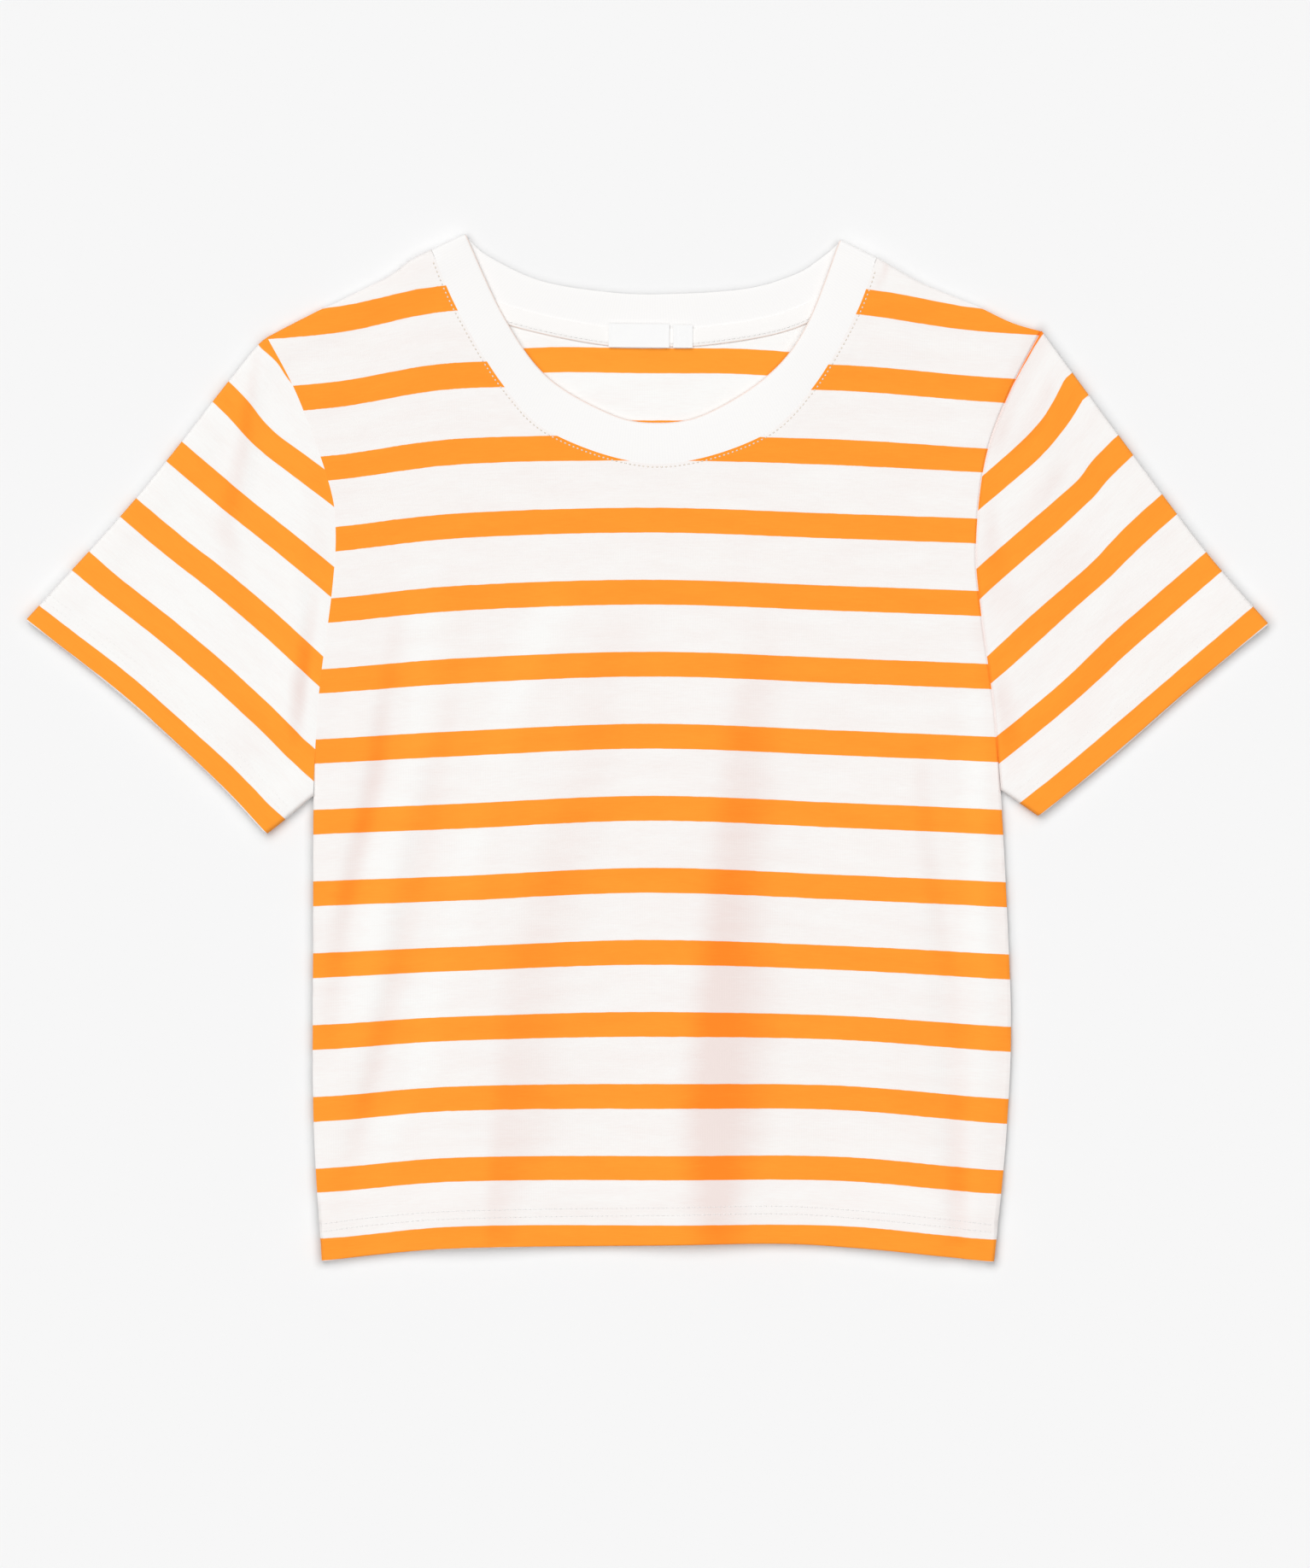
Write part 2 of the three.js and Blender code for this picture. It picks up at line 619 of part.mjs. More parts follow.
function makeNeckband(material) {
  const up = new THREE.Vector3(0, 0, 1);
  const flat = (p, z) => new THREE.Vector3(p.x, p.y, z);
  const front = neckStations(frontNeck).map(({ sewn, free }) => ({
    sewn: flat(sewn, bandHeight(sewn)),
    free: flat(free, bandHeight(free)),
    normal: up.clone(),
  }));
  const back = neckStations(backNeck).map(({ sewn, free }) => ({
    sewn: flat(sewn, BACK_BAND_HEIGHT),
    free: flat(free, BACK_BAND_HEIGHT),
    normal: up.clone().negate(),
  }));
  // Both ends of the front and the back share the line of the shoulder. The band turns half round it.
  const foldHeight = JERSEY_WALL + LAYER_GAP + TAPE_LIFT + BAND_WALL / 2;
  [front[0], front.at(-1)].forEach((station) => {
    station.sewn.z = foldHeight;
    station.free.z = foldHeight;
  });
  const turn = (from, to) =>
    Array.from({ length: FOLD_STEPS - 1 }, (_, i) => {
      const angle = (Math.PI * (i + 1)) / FOLD_STEPS;
      const across = from.free.clone().sub(from.sewn).normalize();
      const sideways = new THREE.Vector3().crossVectors(across, up).normalize();
      if (sideways.y < 0) sideways.negate();
      const normal = up.clone().multiplyScalar(Math.cos(angle));
      normal.addScaledVector(sideways, Math.sin(angle));
      const radius = (from.sewn.z - to.sewn.z) / 2;
      const place = (p) => flat(p, (from.sewn.z + to.sewn.z) / 2).addScaledVector(normal, radius);
      return { sewn: place(from.sewn), free: place(from.free), normal };
    });
  const stations = [
    ...front,
    ...turn(front.at(-1), back.at(-1)),
    ...[...back].reverse(),
    ...turn(front[0], back[0]).reverse(),
  ];
  const section = (station, side) =>
    BAND_PROFILE.map(({ share, fullness }) => {
      const width = station.free.distanceTo(station.sewn);
      const inset = SEAM_GAP / 2 / width;
      const middle = station.sewn.clone().lerp(station.free, mix(inset, 1, share));
      return middle.addScaledVector(station.normal, (side * fullness * BAND_WALL) / 2);
    });
  return clothWall(
    "neckband",
    material,
    stations.map((station) => section(station, 1)),
    stations.map((station) => section(station, -1)),
    { rows: true, columns: false },
  );
}

// The neck tape covers the seam between the back and the neckband on the inside.
const TAPE_TOP = JERSEY_WALL + LAYER_GAP - 0.1 + TAPE_WALL;

function makeNeckTape(material) {
  const length = backNeck.sewn.getLength();
  const steps = 18;
  const centres = Array.from({ length: steps + 1 }, (_, i) => {
    const share = mix(TAPE_END_MARGIN, length - TAPE_END_MARGIN, i / steps) / length;
    const tangent = backNeck.sewn.getTangentAt(share);
    const down = new THREE.Vector2(tangent.y, -tangent.x);
    return { edge: backNeck.sewn.getPointAt(share), down };
  });
  const face = (z, ends) =>
    centres.map(({ edge, down }) =>
      [SEAM_GAP, SEAM_GAP + 0.6, TAPE_WIDTH - 0.6, TAPE_WIDTH].map((d, j) => {
        const p = edge.clone().addScaledVector(down, d);
        return new THREE.Vector3(p.x, p.y, j === 0 || j === 3 ? ends : z);
      }),
    );
  return clothWall(
    "neck_tape",
    material,
    face(TAPE_TOP, TAPE_TOP - 0.3),
    face(TAPE_TOP - TAPE_WALL, TAPE_TOP - TAPE_WALL),
  );
}

// Two woven labels lie flat on the neck tape: the wide one, and a small one at its right for the size.
const LABELS = [
  { name: "main_label", x: -4.4, y: 217, width: 32, height: 12.4, turn: -0.6 },
  { name: "size_label", x: 18.8, y: 216.6, width: 10.2, height: 12, turn: -0.5 },
];

function makeLabel(material, { name, x, y, width, height, turn }) {
  const corner = 0.6;
  const shape = new THREE.Shape();
  const right = width / 2;
  const top = height / 2;
  shape.moveTo(-right + corner, -top);
  shape.lineTo(right - corner, -top);
  shape.lineTo(right, -top + corner);
  shape.lineTo(right, top - corner);
  shape.lineTo(right - corner, top);
  shape.lineTo(-right + corner, top);
  shape.lineTo(-right, top - corner);
  shape.lineTo(-right, -top + corner);
  shape.closePath();
  const mesh = new THREE.Mesh(
    new THREE.ExtrudeGeometry(shape, { depth: LABEL_WALL, bevelEnabled: false }),
    material,
  );
  mesh.name = name;
  mesh.position.set(x, y, TAPE_TOP + LAYER_GAP - 0.1);
  mesh.rotation.z = THREE.MathUtils.degToRad(turn);
  return mesh;
}

// The striped jersey's colour is the mean of its orange and off-white stripes.
const jersey = new THREE.MeshStandardMaterial({ color: 0xfbdab7, roughness: 0.9, metalness: 0 });
const rib = new THREE.MeshStandardMaterial({ color: 0xf8f7f5, roughness: 0.9, metalness: 0 });
const tapeCloth = new THREE.MeshStandardMaterial({ color: 0xf6f3ee, roughness: 0.9, metalness: 0 });
const wovenLabel = new THREE.MeshStandardMaterial({ color: 0xfbfbfa, roughness: 0.6, metalness: 0 });

const cropTop = new THREE.Group();
cropTop.add(makeBack(jersey));
cropTop.add(makeFront(jersey));
cropTop.add(makeSleeve("left_sleeve", jersey, leftSleeveCut));
cropTop.add(makeSleeve("right_sleeve", jersey, rightSleeveCut));
cropTop.add(makeNeckband(rib));
cropTop.add(makeNeckTape(tapeCloth));
LABELS.forEach((label) => cropTop.add(makeLabel(wovenLabel, label)));

export default cropTop;
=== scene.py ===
# A short-sleeved crop top in striped cotton jersey with a white rib neckband, laid flat and face up.
# Metres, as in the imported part: X runs to the viewer's right, Y from the hem towards the neck, and Z up
# from the table. Left and right are the viewer's.
import math
from bisect import bisect_right

import bmesh
import bpy
from mathutils import Matrix, Vector
from mathutils.kdtree import KDTree


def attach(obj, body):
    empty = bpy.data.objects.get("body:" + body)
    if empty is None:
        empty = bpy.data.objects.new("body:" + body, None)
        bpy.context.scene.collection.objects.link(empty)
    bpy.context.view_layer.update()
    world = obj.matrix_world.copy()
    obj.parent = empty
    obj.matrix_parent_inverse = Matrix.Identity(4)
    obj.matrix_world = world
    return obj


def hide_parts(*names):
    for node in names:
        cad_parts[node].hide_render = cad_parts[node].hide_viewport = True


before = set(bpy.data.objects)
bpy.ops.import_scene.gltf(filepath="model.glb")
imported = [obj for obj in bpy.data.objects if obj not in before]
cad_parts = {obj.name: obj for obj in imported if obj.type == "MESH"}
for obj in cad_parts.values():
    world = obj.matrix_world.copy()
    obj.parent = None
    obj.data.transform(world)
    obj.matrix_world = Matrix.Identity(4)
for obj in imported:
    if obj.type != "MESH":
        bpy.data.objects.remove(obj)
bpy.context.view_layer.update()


# The back panel
# One piece of single jersey. It lies on the table with its right side down, so that its wrong side
# shows inside the neck. Its hem is turned up once and held by two rows of stitches.


class Edge:
    """A smooth line through a few points of a flat pattern, measured along its length."""

    def __init__(self, *points):
        ends = [points[0], *points, points[-1]]
        self.line = [Vector(points[0])]
        for before, start, finish, after in zip(ends, ends[1:], ends[2:], ends[3:]):
            before, start, finish, after = map(Vector, (before, start, finish, after))
            leave = (finish - before) / 2
            arrive = (after - start) / 2
            for step in range(1, 61):
                t = step / 60
                cubic = 2 * start - 2 * finish + leave + arrive
                square = 3 * finish - 3 * start - 2 * leave - arrive
                self.line.append(((cubic * t + square) * t + leave) * t + start)
        self.runs = [0.0]
        for a, b in zip(self.line, self.line[1:]):
            self.runs.append(self.runs[-1] + (b - a).length)
        self.length = self.runs[-1]

    def at(self, run):
        run = min(max(run, 0), self.length)
        low = min(bisect_right(self.runs, run), len(self.runs) - 1) - 1
        share = (run - self.runs[low]) / (self.runs[low + 1] - self.runs[low])
        return self.line[low].lerp(self.line[low + 1], share)

    def beside(self, run, offset):
        """The point this far to the right of the line, as one walks along it."""
        along = (self.at(run + 0.001) - self.at(run - 0.001)).normalized()
        return self.at(run) + Vector((along.y, -along.x)) * offset

    def height_at(self, x):
        """Where a line that runs from left to right passes x."""
        low = bisect_right(self.line, x, key=lambda point: point.x) - 1
        return self.line[min(max(low, 0), len(self.line) - 2)].y


def smooth(value, start, end):
    """0 before start, 1 after end, and an even rise between them."""
    t = min(max((value - start) / (end - start), 0), 1)
    return t * t * (3 - 2 * t)


def mix(a, b, share):
    return a + (b - a) * share


hem_edge = Edge(
    (-0.1715, -0.2709), (-0.14, -0.267), (-0.095, -0.2638), (0, -0.2624),
    (0.068, -0.2615), (0.11, -0.2638), (0.15, -0.2676), (0.1827, -0.2714),
)
left_side = Edge((-0.1715, -0.2709), (-0.176, -0.195), (-0.1762, -0.1), (-0.176, -0.0255))
left_armhole = Edge(
    (-0.176, -0.0255), (-0.1734, 0.025), (-0.1661, 0.0833), (-0.1643, 0.1148),
    (-0.1679, 0.1395), (-0.1841, 0.1845), (-0.2004, 0.2162),
)
left_shoulder = Edge(
    (-0.2004, 0.2162), (-0.1791, 0.2273), (-0.1386, 0.2471), (-0.1251, 0.2567), (-0.1139, 0.2624),
)
right_side = Edge(
    (0.1827, -0.2714), (0.1888, -0.21), (0.1917, -0.1508), (0.1898, -0.09), (0.1863, -0.0225),
)
right_armhole = Edge(
    (0.1863, -0.0225), (0.1825, 0.022), (0.1755, 0.0743), (0.1733, 0.108),
    (0.1782, 0.1517), (0.1908, 0.1868), (0.2079, 0.2196),
)
right_shoulder = Edge(
    (0.2079, 0.2196), (0.1922, 0.2241), (0.1719, 0.2336), (0.1449, 0.2448), (0.1211, 0.2583),
)
left_sleeve_fold = Edge(
    (-0.3276, 0.0671), (-0.2696, 0.1314), (-0.2219, 0.1917), (-0.2062, 0.2112), (-0.2004, 0.2162),
)
left_underarm = Edge((-0.2008, -0.0459), (-0.1905, -0.0378), (-0.176, -0.0255))
right_sleeve_fold = Edge((0.3276, 0.065), (0.2943, 0.1035), (0.2484, 0.1647), (0.2079, 0.2196))
right_underarm = Edge((0.2062, -0.0364), (0.1953, -0.0288), (0.1863, -0.0225))
back_neck_sewn = Edge(
    (-0.1129, 0.2603), (-0.0981, 0.2448), (-0.0711, 0.2313), (-0.0261, 0.2214), (0.0032, 0.2201),
    (0.0324, 0.221), (0.0729, 0.2286), (0.1022, 0.2444), (0.1201, 0.2562),
)

folded_edges = [
    left_side, left_shoulder, left_sleeve_fold, left_underarm,
    right_side, right_shoulder, right_sleeve_fold, right_underarm,
]
armholes = [left_armhole, right_armhole]


def lookup(edges):
    """A quick way to ask how far a point is from the nearest of these edges."""
    places = [point for edge in edges for point in edge.line]
    tree = KDTree(len(places))
    for index, place in enumerate(places):
        tree.insert(place.to_3d(), index)
    tree.balance()
    return tree


def distance(tree, p):
    return tree.find(Vector((p.x, p.y, 0)))[2]


to_fold = lookup(folded_edges)
to_armhole = lookup(armholes)
to_right_armhole = lookup([right_armhole])

# How far the armhole seams draw the cloth in, then how far the right one does low down and at its top, and
# how deep the shade is right beside that seam and round its top.
SLIGHT_DIP = 0.0001
RIGHT_DIP = (0.0006, 0.0015)
SEAM_SHADE = 0.55
SHOULDER_SHADE = 0.3


def seam_dip(p):
    """How far an armhole seam draws the cloth in. It does so most at the top of the right one."""
    slight = SLIGHT_DIP * (1 - smooth(distance(to_armhole, p), 0, 0.0012))
    deep = mix(*RIGHT_DIP, smooth(p.y, 0.14, 0.19))
    return slight + deep * (1 - smooth(distance(to_right_armhole, p), 0, 0.0011))


def seam_shade(p):
    """The shade beside the right armhole seam, deeper at its top."""
    away = distance(to_right_armhole, p)
    near_top = smooth(p.y, 0.15, 0.2) * (1 - smooth(away, 0.001, 0.009))
    return SEAM_SHADE * (1 - smooth(away, 0, 0.0016)) + SHOULDER_SHADE * near_top


# The cloth's wall, how far a fold rolls in on the upper and the lower layer, the heights of the sewn edges
# and of the underside, the depth of the hem and the radius of its fold, and the size of a mesh cell.
JERSEY = 0.0009
FOLD_ROLL = 0.002
FOLD_UNDERCUT = 0.0034
SEAM_HEIGHT = 0.0021
UNDERSIDE = 0.00012
HEM_DEPTH = 0.0208
HEM_RADIUS = 0.00098
CELL = 0.0029
# A shoulder's share of a row of cells, and how near to a side edge its shape stays.
SHOULDER_SHARE = 0.19
PANEL_PULL = 8


def rounded(fold, roll=FOLD_ROLL):
    """How far a surface has rolled over at this distance from a folded edge: 0 at it, 1 past the roll."""
    return math.sqrt(max(0, 1 - max(0, 1 - fold / roll) ** 2))


def stations(length, fine_start=True, fine_end=True):
    """Distances along an edge a cell apart, and closer together where the cloth rolls over."""
    fine = [0, 0.00012, 0.00045, 0.001, 0.0018, 0.003, 0.0048]
    start = fine if fine_start else [0]
    end = [length - d for d in reversed(fine if fine_end else [0])]
    count = max(1, round((end[0] - start[-1]) / CELL))
    middle = [mix(start[-1], end[0], k / count) for k in range(1, count)]
    return [*start, *middle, *end]


def patch(bottom, top, left, right, across, up, pull=1):
    """Rows of points between four edges. With a higher pull, the side edges shape only what is near them."""
    rows = []
    for i, v in enumerate(up):
        from_left = left[i] - mix(bottom[0], top[0], v)
        from_right = right[i] - mix(bottom[-1], top[-1], v)
        row = []
        for j, u in enumerate(across):
            row.append(mix(bottom[j], top[j], v) + from_left * (1 - u) ** pull + from_right * u**pull)
        rows.append(row)
    return rows


HEM_ROWS = [HEM_RADIUS, 0.0025, 0.0055, 0.009, 0.0125, 0.0165, 0.0203]


def body_plan(neck, left_arm, right_arm):
    """The front or the back from above: rows of points from the hem up to the shoulders and the neck."""
    sides = []
    for side, arm in ((left_side, left_arm), (right_side, right_arm)):
        count = round((side.length - HEM_DEPTH) / CELL)
        upwards = [mix(HEM_DEPTH, side.length, k / count) for k in range(count + 1)]
        sides.append([side.at(run) for run in [*HEM_ROWS, *upwards]] + arm[1:])
    left, right = sides

    shoulders, shares = [], []
    for edge in (left_shoulder, right_shoulder):
        runs = stations(edge.length, True, False)
        shoulders.append([edge.at(run) for run in runs])
        shares.append([SHOULDER_SHARE * run / edge.length for run in runs])
    neck_line = [neck.at(run) for run in stations(neck.length, False, False)]
    top = [*shoulders[0], *neck_line[1:-1], *reversed(shoulders[1])]
    inner = len(neck_line) - 1
    across = [
        *shares[0],
        *(mix(SHOULDER_SHARE, 1 - SHOULDER_SHARE, k / inner) for k in range(1, inner)),
        *(1 - share for share in reversed(shares[1])),
    ]
    bottom = [hem_edge.at(share * hem_edge.length) for share in across]
    hem_top = [point + Vector((0, HEM_DEPTH)) for point in bottom]
    count = len(HEM_ROWS)
    hem_top[0], hem_top[-1] = left[count], right[count]
    rows = [
        [mix(low, high, depth / HEM_DEPTH) for low, high in zip(bottom, hem_top)]
        for depth in HEM_ROWS
    ]
    for i, row in enumerate(rows):
        row[0], row[-1] = left[i], right[i]
    runs = [0]
    for a, b in zip(left[count:], left[count + 1 :]):
        runs.append(runs[-1] + (b - a).length)
    up = [run / runs[-1] for run in runs]
    return rows + patch(hem_top, top, left[count:], right[count:], across, up, PANEL_PULL)


# The stripes sag towards the sides. Each line gives a height on the middle of the top, and how far the
# same stripe lies lower at each of the places across it.
SAG_PLACES = (-0.26, -0.17, -0.1, 0, 0.1, 0.18, 0.26)
SAG_BEYOND = 1.6
STRIPE_SAG = [
    (0.2403, (0.0085, -0.0036, 0, -0.0025, 0.0099)),
    (0.2024, (0.0099, -0.0005, 0, 0.0007, 0.0072)),
    (0.1644, (0.0108, 0.0016, 0, 0.002, 0.007)),
    (0.1265, (0.0106, 0.003, 0, 0.0032, 0.006)),
    (-0.0634, (0.0069, 0.0043, 0, 0.0037, 0.0072)),
    (-0.2151, (0.0065, 0.0007, 0, 0.0004, 0.0073)),
    (-0.2531, (0.0052, -0.0011, -0.0016, -0.0013, 0.0058)),
]
STRIPE_PERIOD = 0.03796
STRIPE_SHARE = 0.355
STRIPE_TOP = 0.12645

sag_lines = []
for height, sags in STRIPE_SAG:
    sags = [sags[0] * SAG_BEYOND, *sags, sags[-1] * SAG_BEYOND]
    sag_lines.append((height, Edge(*zip(SAG_PLACES, sags))))


def between_lines(lines, height, x):
    """The value at x of the lines above and below a height, blended. Lines run from the highest down."""
    if height >= lines[0][0]:
        return lines[0][1].height_at(x)
    for (above, upper), (below, lower) in zip(lines, lines[1:]):
        if height >= below:
            return mix(lower.height_at(x), upper.height_at(x), smooth(height, below, above))
    return lines[-1][1].height_at(x)


def body_stripe(p):
    """The height of a point on the flat cloth, counted from the lower edge of a stripe."""
    return p.y + between_lines(sag_lines, p.y, p.x) - STRIPE_TOP + STRIPE_SHARE * STRIPE_PERIOD


def cloth_grid(columns, rows):
    """A grid of cells, its layer for places on the flat cloth, and each vertex with its row and column."""
    mesh = bmesh.new()
    cloth = mesh.verts.layers.float_vector.new("cloth")
    column = mesh.verts.layers.int.new("column")
    bmesh.ops.create_grid(mesh, x_segments=columns, y_segments=rows, size=0.5)
    places = []
    for vert in mesh.verts:
        i, j = round((vert.co.y + 0.5) * rows), round((vert.co.x + 0.5) * columns)
        vert[column] = j
        places.append((vert, i, j))
    return mesh, cloth, places


def lay_panel(name, rows, height, stripe, painted_shade, wall_side):
    """A cloth panel over rows of plan points, at the height that a rule gives, with its hem turned up."""
    mesh, cloth, places = cloth_grid(len(rows[0]) - 1, len(rows) - 1)
    grid = {}
    for vert, i, j in places:
        p = rows[i][j]
        vert.co = (p.x, p.y, height(p, i))
        # The third number on the flat cloth is the painted shade.
        vert[cloth] = (p.x, stripe(p), painted_shade(p))
        grid[i, j] = vert
    if wall_side < 0:
        bmesh.ops.reverse_faces(mesh, faces=mesh.faces)
    mesh.normal_update()
    turn_up_hem(mesh, grid, len(rows[0]))
    return finish_cloth(name, mesh, JERSEY)


def turn_up_hem(mesh, grid, columns):
    """Extrudes the lower edge round a fold and up the inside of the cloth, a wall's depth away from it."""
    cloth = mesh.verts.layers.float_vector["cloth"]
    column = mesh.verts.layers.int["column"]
    first = {grid[0, j] for j in range(columns)}
    rows = []
    for i in range(len(HEM_ROWS)):
        verts = [grid[i, j] for j in range(columns)]
        rows.append([(v.co.copy(), v.normal.copy(), v[cloth].copy()) for v in verts])
    edges = [e for e in mesh.edges if e.verts[0] in first and e.verts[1] in first and e.is_boundary]
    turns = [math.pi * k / 8 for k in range(1, 9)]
    steps = [(0, angle) for angle in turns] + [(i, math.pi) for i in range(1, len(HEM_ROWS))]
    for row, angle in steps:
        made = bmesh.ops.extrude_edge_only(mesh, edges=edges)["geom"]
        edges = [e for e in made if isinstance(e, bmesh.types.BMEdge)]
        for vert in (v for v in made if isinstance(v, bmesh.types.BMVert)):
            place, normal, mark = rows[row][vert[column]]
            outwards = (rows[0][vert[column]][0] - rows[2][vert[column]][0]).normalized()
            vert.co = place + normal * HEM_RADIUS * (math.cos(angle) - 1)
            if row == 0:
                vert.co += outwards * HEM_RADIUS * math.sin(angle)
            below = HEM_RADIUS * (angle + math.pi / 2) + (HEM_ROWS[row] - HEM_RADIUS)
            vert[cloth] = (mark.x, rows[0][vert[column]][2].y - below, mark.z)


def make_object(name, mesh):
    """An object at the origin with this mesh, shaded smooth."""
    for face in mesh.faces:
        face.smooth = True
    data = bpy.data.meshes.new(name)
    mesh.to_mesh(data)
    mesh.free()
    piece = bpy.data.objects.new(name, data)
    bpy.context.scene.collection.objects.link(piece)
    return piece


def finish_cloth(name, mesh, thickness):
    """Turns a surface into a cloth wall of one thickness, with the given surface as its outer face."""
    for edge in mesh.edges:
        edge.smooth = not edge.is_boundary
    piece = make_object(name, mesh)
    wall = piece.modifiers.new("wall", "SOLIDIFY")
    wall.thickness = thickness
    wall.offset = -1
    wall.use_even_offset = False
    return piece


BACK_ARMHOLE_SHIFT = 0.007
BACK_STRIPE_SHIFT = 0.0082
HEM_CURL = 0.0008
CREASE = 0.00008


def back_armhole(armhole, outwards):
    """The back's armhole is cut less hollow than the front's."""
    points = []
    for run in stations(armhole.length):
        swing = math.sin(math.pi * run / armhole.length) ** 2
        points.append(armhole.at(run) + Vector((outwards * BACK_ARMHOLE_SHIFT * swing, 0)))
    return points


back_rows = body_plan(back_neck_sewn, back_armhole(left_armhole, -1), back_armhole(right_armhole, 1))
to_hem = lookup([hem_edge])


def hem_curl(depth):
    """A hem lifts off the table by a little at its very edge."""
    return HEM_CURL * (1 - smooth(depth, 0, 0.012))


def back_height(p, row):
    """The back's right side, face down. It lies flat and rolls up to the seams at its sides."""
    crease = CREASE * (1 + math.sin(p.x * 150 + 3 * math.sin(p.y * 19)))
    flat = UNDERSIDE + crease + hem_curl(distance(to_hem, p))
    return mix(SEAM_HEIGHT - 0.0001, flat, rounded(distance(to_fold, p), FOLD_UNDERCUT))


def back_stripe(p):
    lift = BACK_STRIPE_SHIFT * (1 - smooth(abs(p.x), 0.03, 0.17)) * smooth(p.y, -0.05, 0.15)
    return body_stripe(p) - lift


# The back's painted shade is one faint, even amount.
back = lay_panel("back_panel", back_rows, back_height, back_stripe, lambda p: 0.05, -1)


def weave_group(name, width_label, width, outputs):
    """A node group that draws a weave: its tree, its sockets for place and width, and its end."""
    group = bpy.data.node_groups.new(name, "ShaderNodeTree")
    group.interface.new_socket("Cloth", in_out="INPUT", socket_type="NodeSocketVector")
    socket = group.interface.new_socket(width_label, in_out="INPUT", socket_type="NodeSocketFloat")
    socket.default_value = width
    for label in outputs:
        group.interface.new_socket(label, in_out="OUTPUT", socket_type="NodeSocketFloat")
    start = group.nodes.new("NodeGroupInput")
    return group, start.outputs["Cloth"], start.outputs[width_label], group.nodes.new("NodeGroupOutput")


def math_node(tree, operation, *values):
    """A Math node. Each value is a number, or the socket that feeds it."""
    node = tree.nodes.new("ShaderNodeMath")
    node.operation = operation
    for socket, value in zip(node.inputs, values):
        if isinstance(value, bpy.types.NodeSocket):
            tree.links.new(value, socket)
        else:
            socket.default_value = value
    return node.outputs[0]


def split_vector(tree, vector):
    """The three numbers of a vector."""
    node = tree.nodes.new("ShaderNodeSeparateXYZ")
    tree.links.new(vector, node.inputs[0])
    return node.outputs


def ridges(tree, value):
    """Round ridges, one for each whole number that the value passes."""
    return math_node(tree, "ABSOLUTE", math_node(tree, "SINE", math_node(tree, "MULTIPLY", value, math.pi)))


def noise(tree, vector, scale, detail):
    """A noise pattern, with its own scale along each direction."""
    stretch = tree.nodes.new("ShaderNodeVectorMath")
    stretch.operation = "MULTIPLY"
    stretch.inputs[1].default_value = scale
    tree.links.new(vector, stretch.inputs[0])
    texture = tree.nodes.new("ShaderNodeTexNoise")
    texture.inputs["Scale"].default_value = 1
    texture.inputs["Detail"].default_value = detail
    tree.links.new(stretch.outputs[0], texture.inputs["Vector"])
    return texture.outputs["Fac"]


# Jersey knit: columns of small loops, with a slight change from yarn to yarn.
knit, place, loop_width, end = weave_group("jersey_knit", "Loop Width", 0.0009, ["Height", "Yarn"])
loops, courses = (math_node(knit, "DIVIDE", part, loop_width) for part in split_vector(knit, place)[:2])
slant = math_node(knit, "PINGPONG", loops, 0.5)
course = math_node(knit, "ADD", math_node(knit, "MULTIPLY", courses, 1.35), slant)
rows = math_node(knit, "SINE", math_node(knit, "MULTIPLY", course, 2 * math.pi))
relief = math_node(knit, "ADD", ridges(knit, loops), math_node(knit, "MULTIPLY", rows, 0.3))
knit.links.new(relief, end.inputs["Height"])
knit.links.new(noise(knit, place, (130, 1300, 0), 3), end.inputs["Yarn"])


def cloth_material(name, roughness, sheen):
    """A material with a cloth shader, and the node that reads the piece's own place on the flat cloth."""
    material = bpy.data.materials.new(name)
    material.use_nodes = True
    tree = material.node_tree
    shader = tree.nodes["Principled BSDF"]
    shader.inputs["Roughness"].default_value = roughness
    shader.inputs["Specular IOR Level"].default_value = 0.2
    shader.inputs["Sheen Weight"].default_value = sheen
    shader.inputs["Sheen Roughness"].default_value = 0.6
    place = tree.nodes.new("ShaderNodeAttribute")
    place.attribute_name = "cloth"
    return material, tree, shader, place.outputs["Vector"]


def use_group(tree, group, vector):
    node = tree.nodes.new("ShaderNodeGroup")
    node.node_tree = group
    tree.links.new(vector, node.inputs["Cloth"])
    return node


def colour_mix(tree, share, first, second):
    """A Mix node for colours. Each value is a colour or share, or the socket that feeds it."""
    node = tree.nodes.new("ShaderNodeMix")
    node.data_type = "RGBA"
    for socket, value in zip((node.inputs[0], node.inputs[6], node.inputs[7]), (share, first, second)):
        if isinstance(value, bpy.types.NodeSocket):
            tree.links.new(value, socket)
        else:
            socket.default_value = value
    return node.outputs[2]


def add_bump(tree, shader, height, strength, depth):
    bump = tree.nodes.new("ShaderNodeBump")
    bump.inputs["Strength"].default_value = strength
    bump.inputs["Distance"].default_value = depth
    tree.links.new(height, bump.inputs["Height"])
    tree.links.new(bump.outputs["Normal"], shader.inputs["Normal"])


def centred(tree, value, amount):
    """A noise value, moved to lie on both sides of 0, times an amount."""
    return math_node(tree, "MULTIPLY", math_node(tree, "SUBTRACT", value, 0.5), amount)


def clamped(tree, value):
    return math_node(tree, "MINIMUM", math_node(tree, "MAXIMUM", value, 0), 1)


# The stripes' orange and white, each with its warmer, darker copy for the painted shade.
STRIPE_ORANGE = (0.985, 0.338, 0.03, 1)
ORANGE_IN_PAINTED_SHADE = (0.985, 0.242, 0.016, 1)
JERSEY_WHITE = (0.915, 0.906, 0.89, 1)
WHITE_IN_PAINTED_SHADE = (0.842, 0.735, 0.705, 1)
EDGE_WANDER = 0.0005
EDGE_BLUR = 0.009

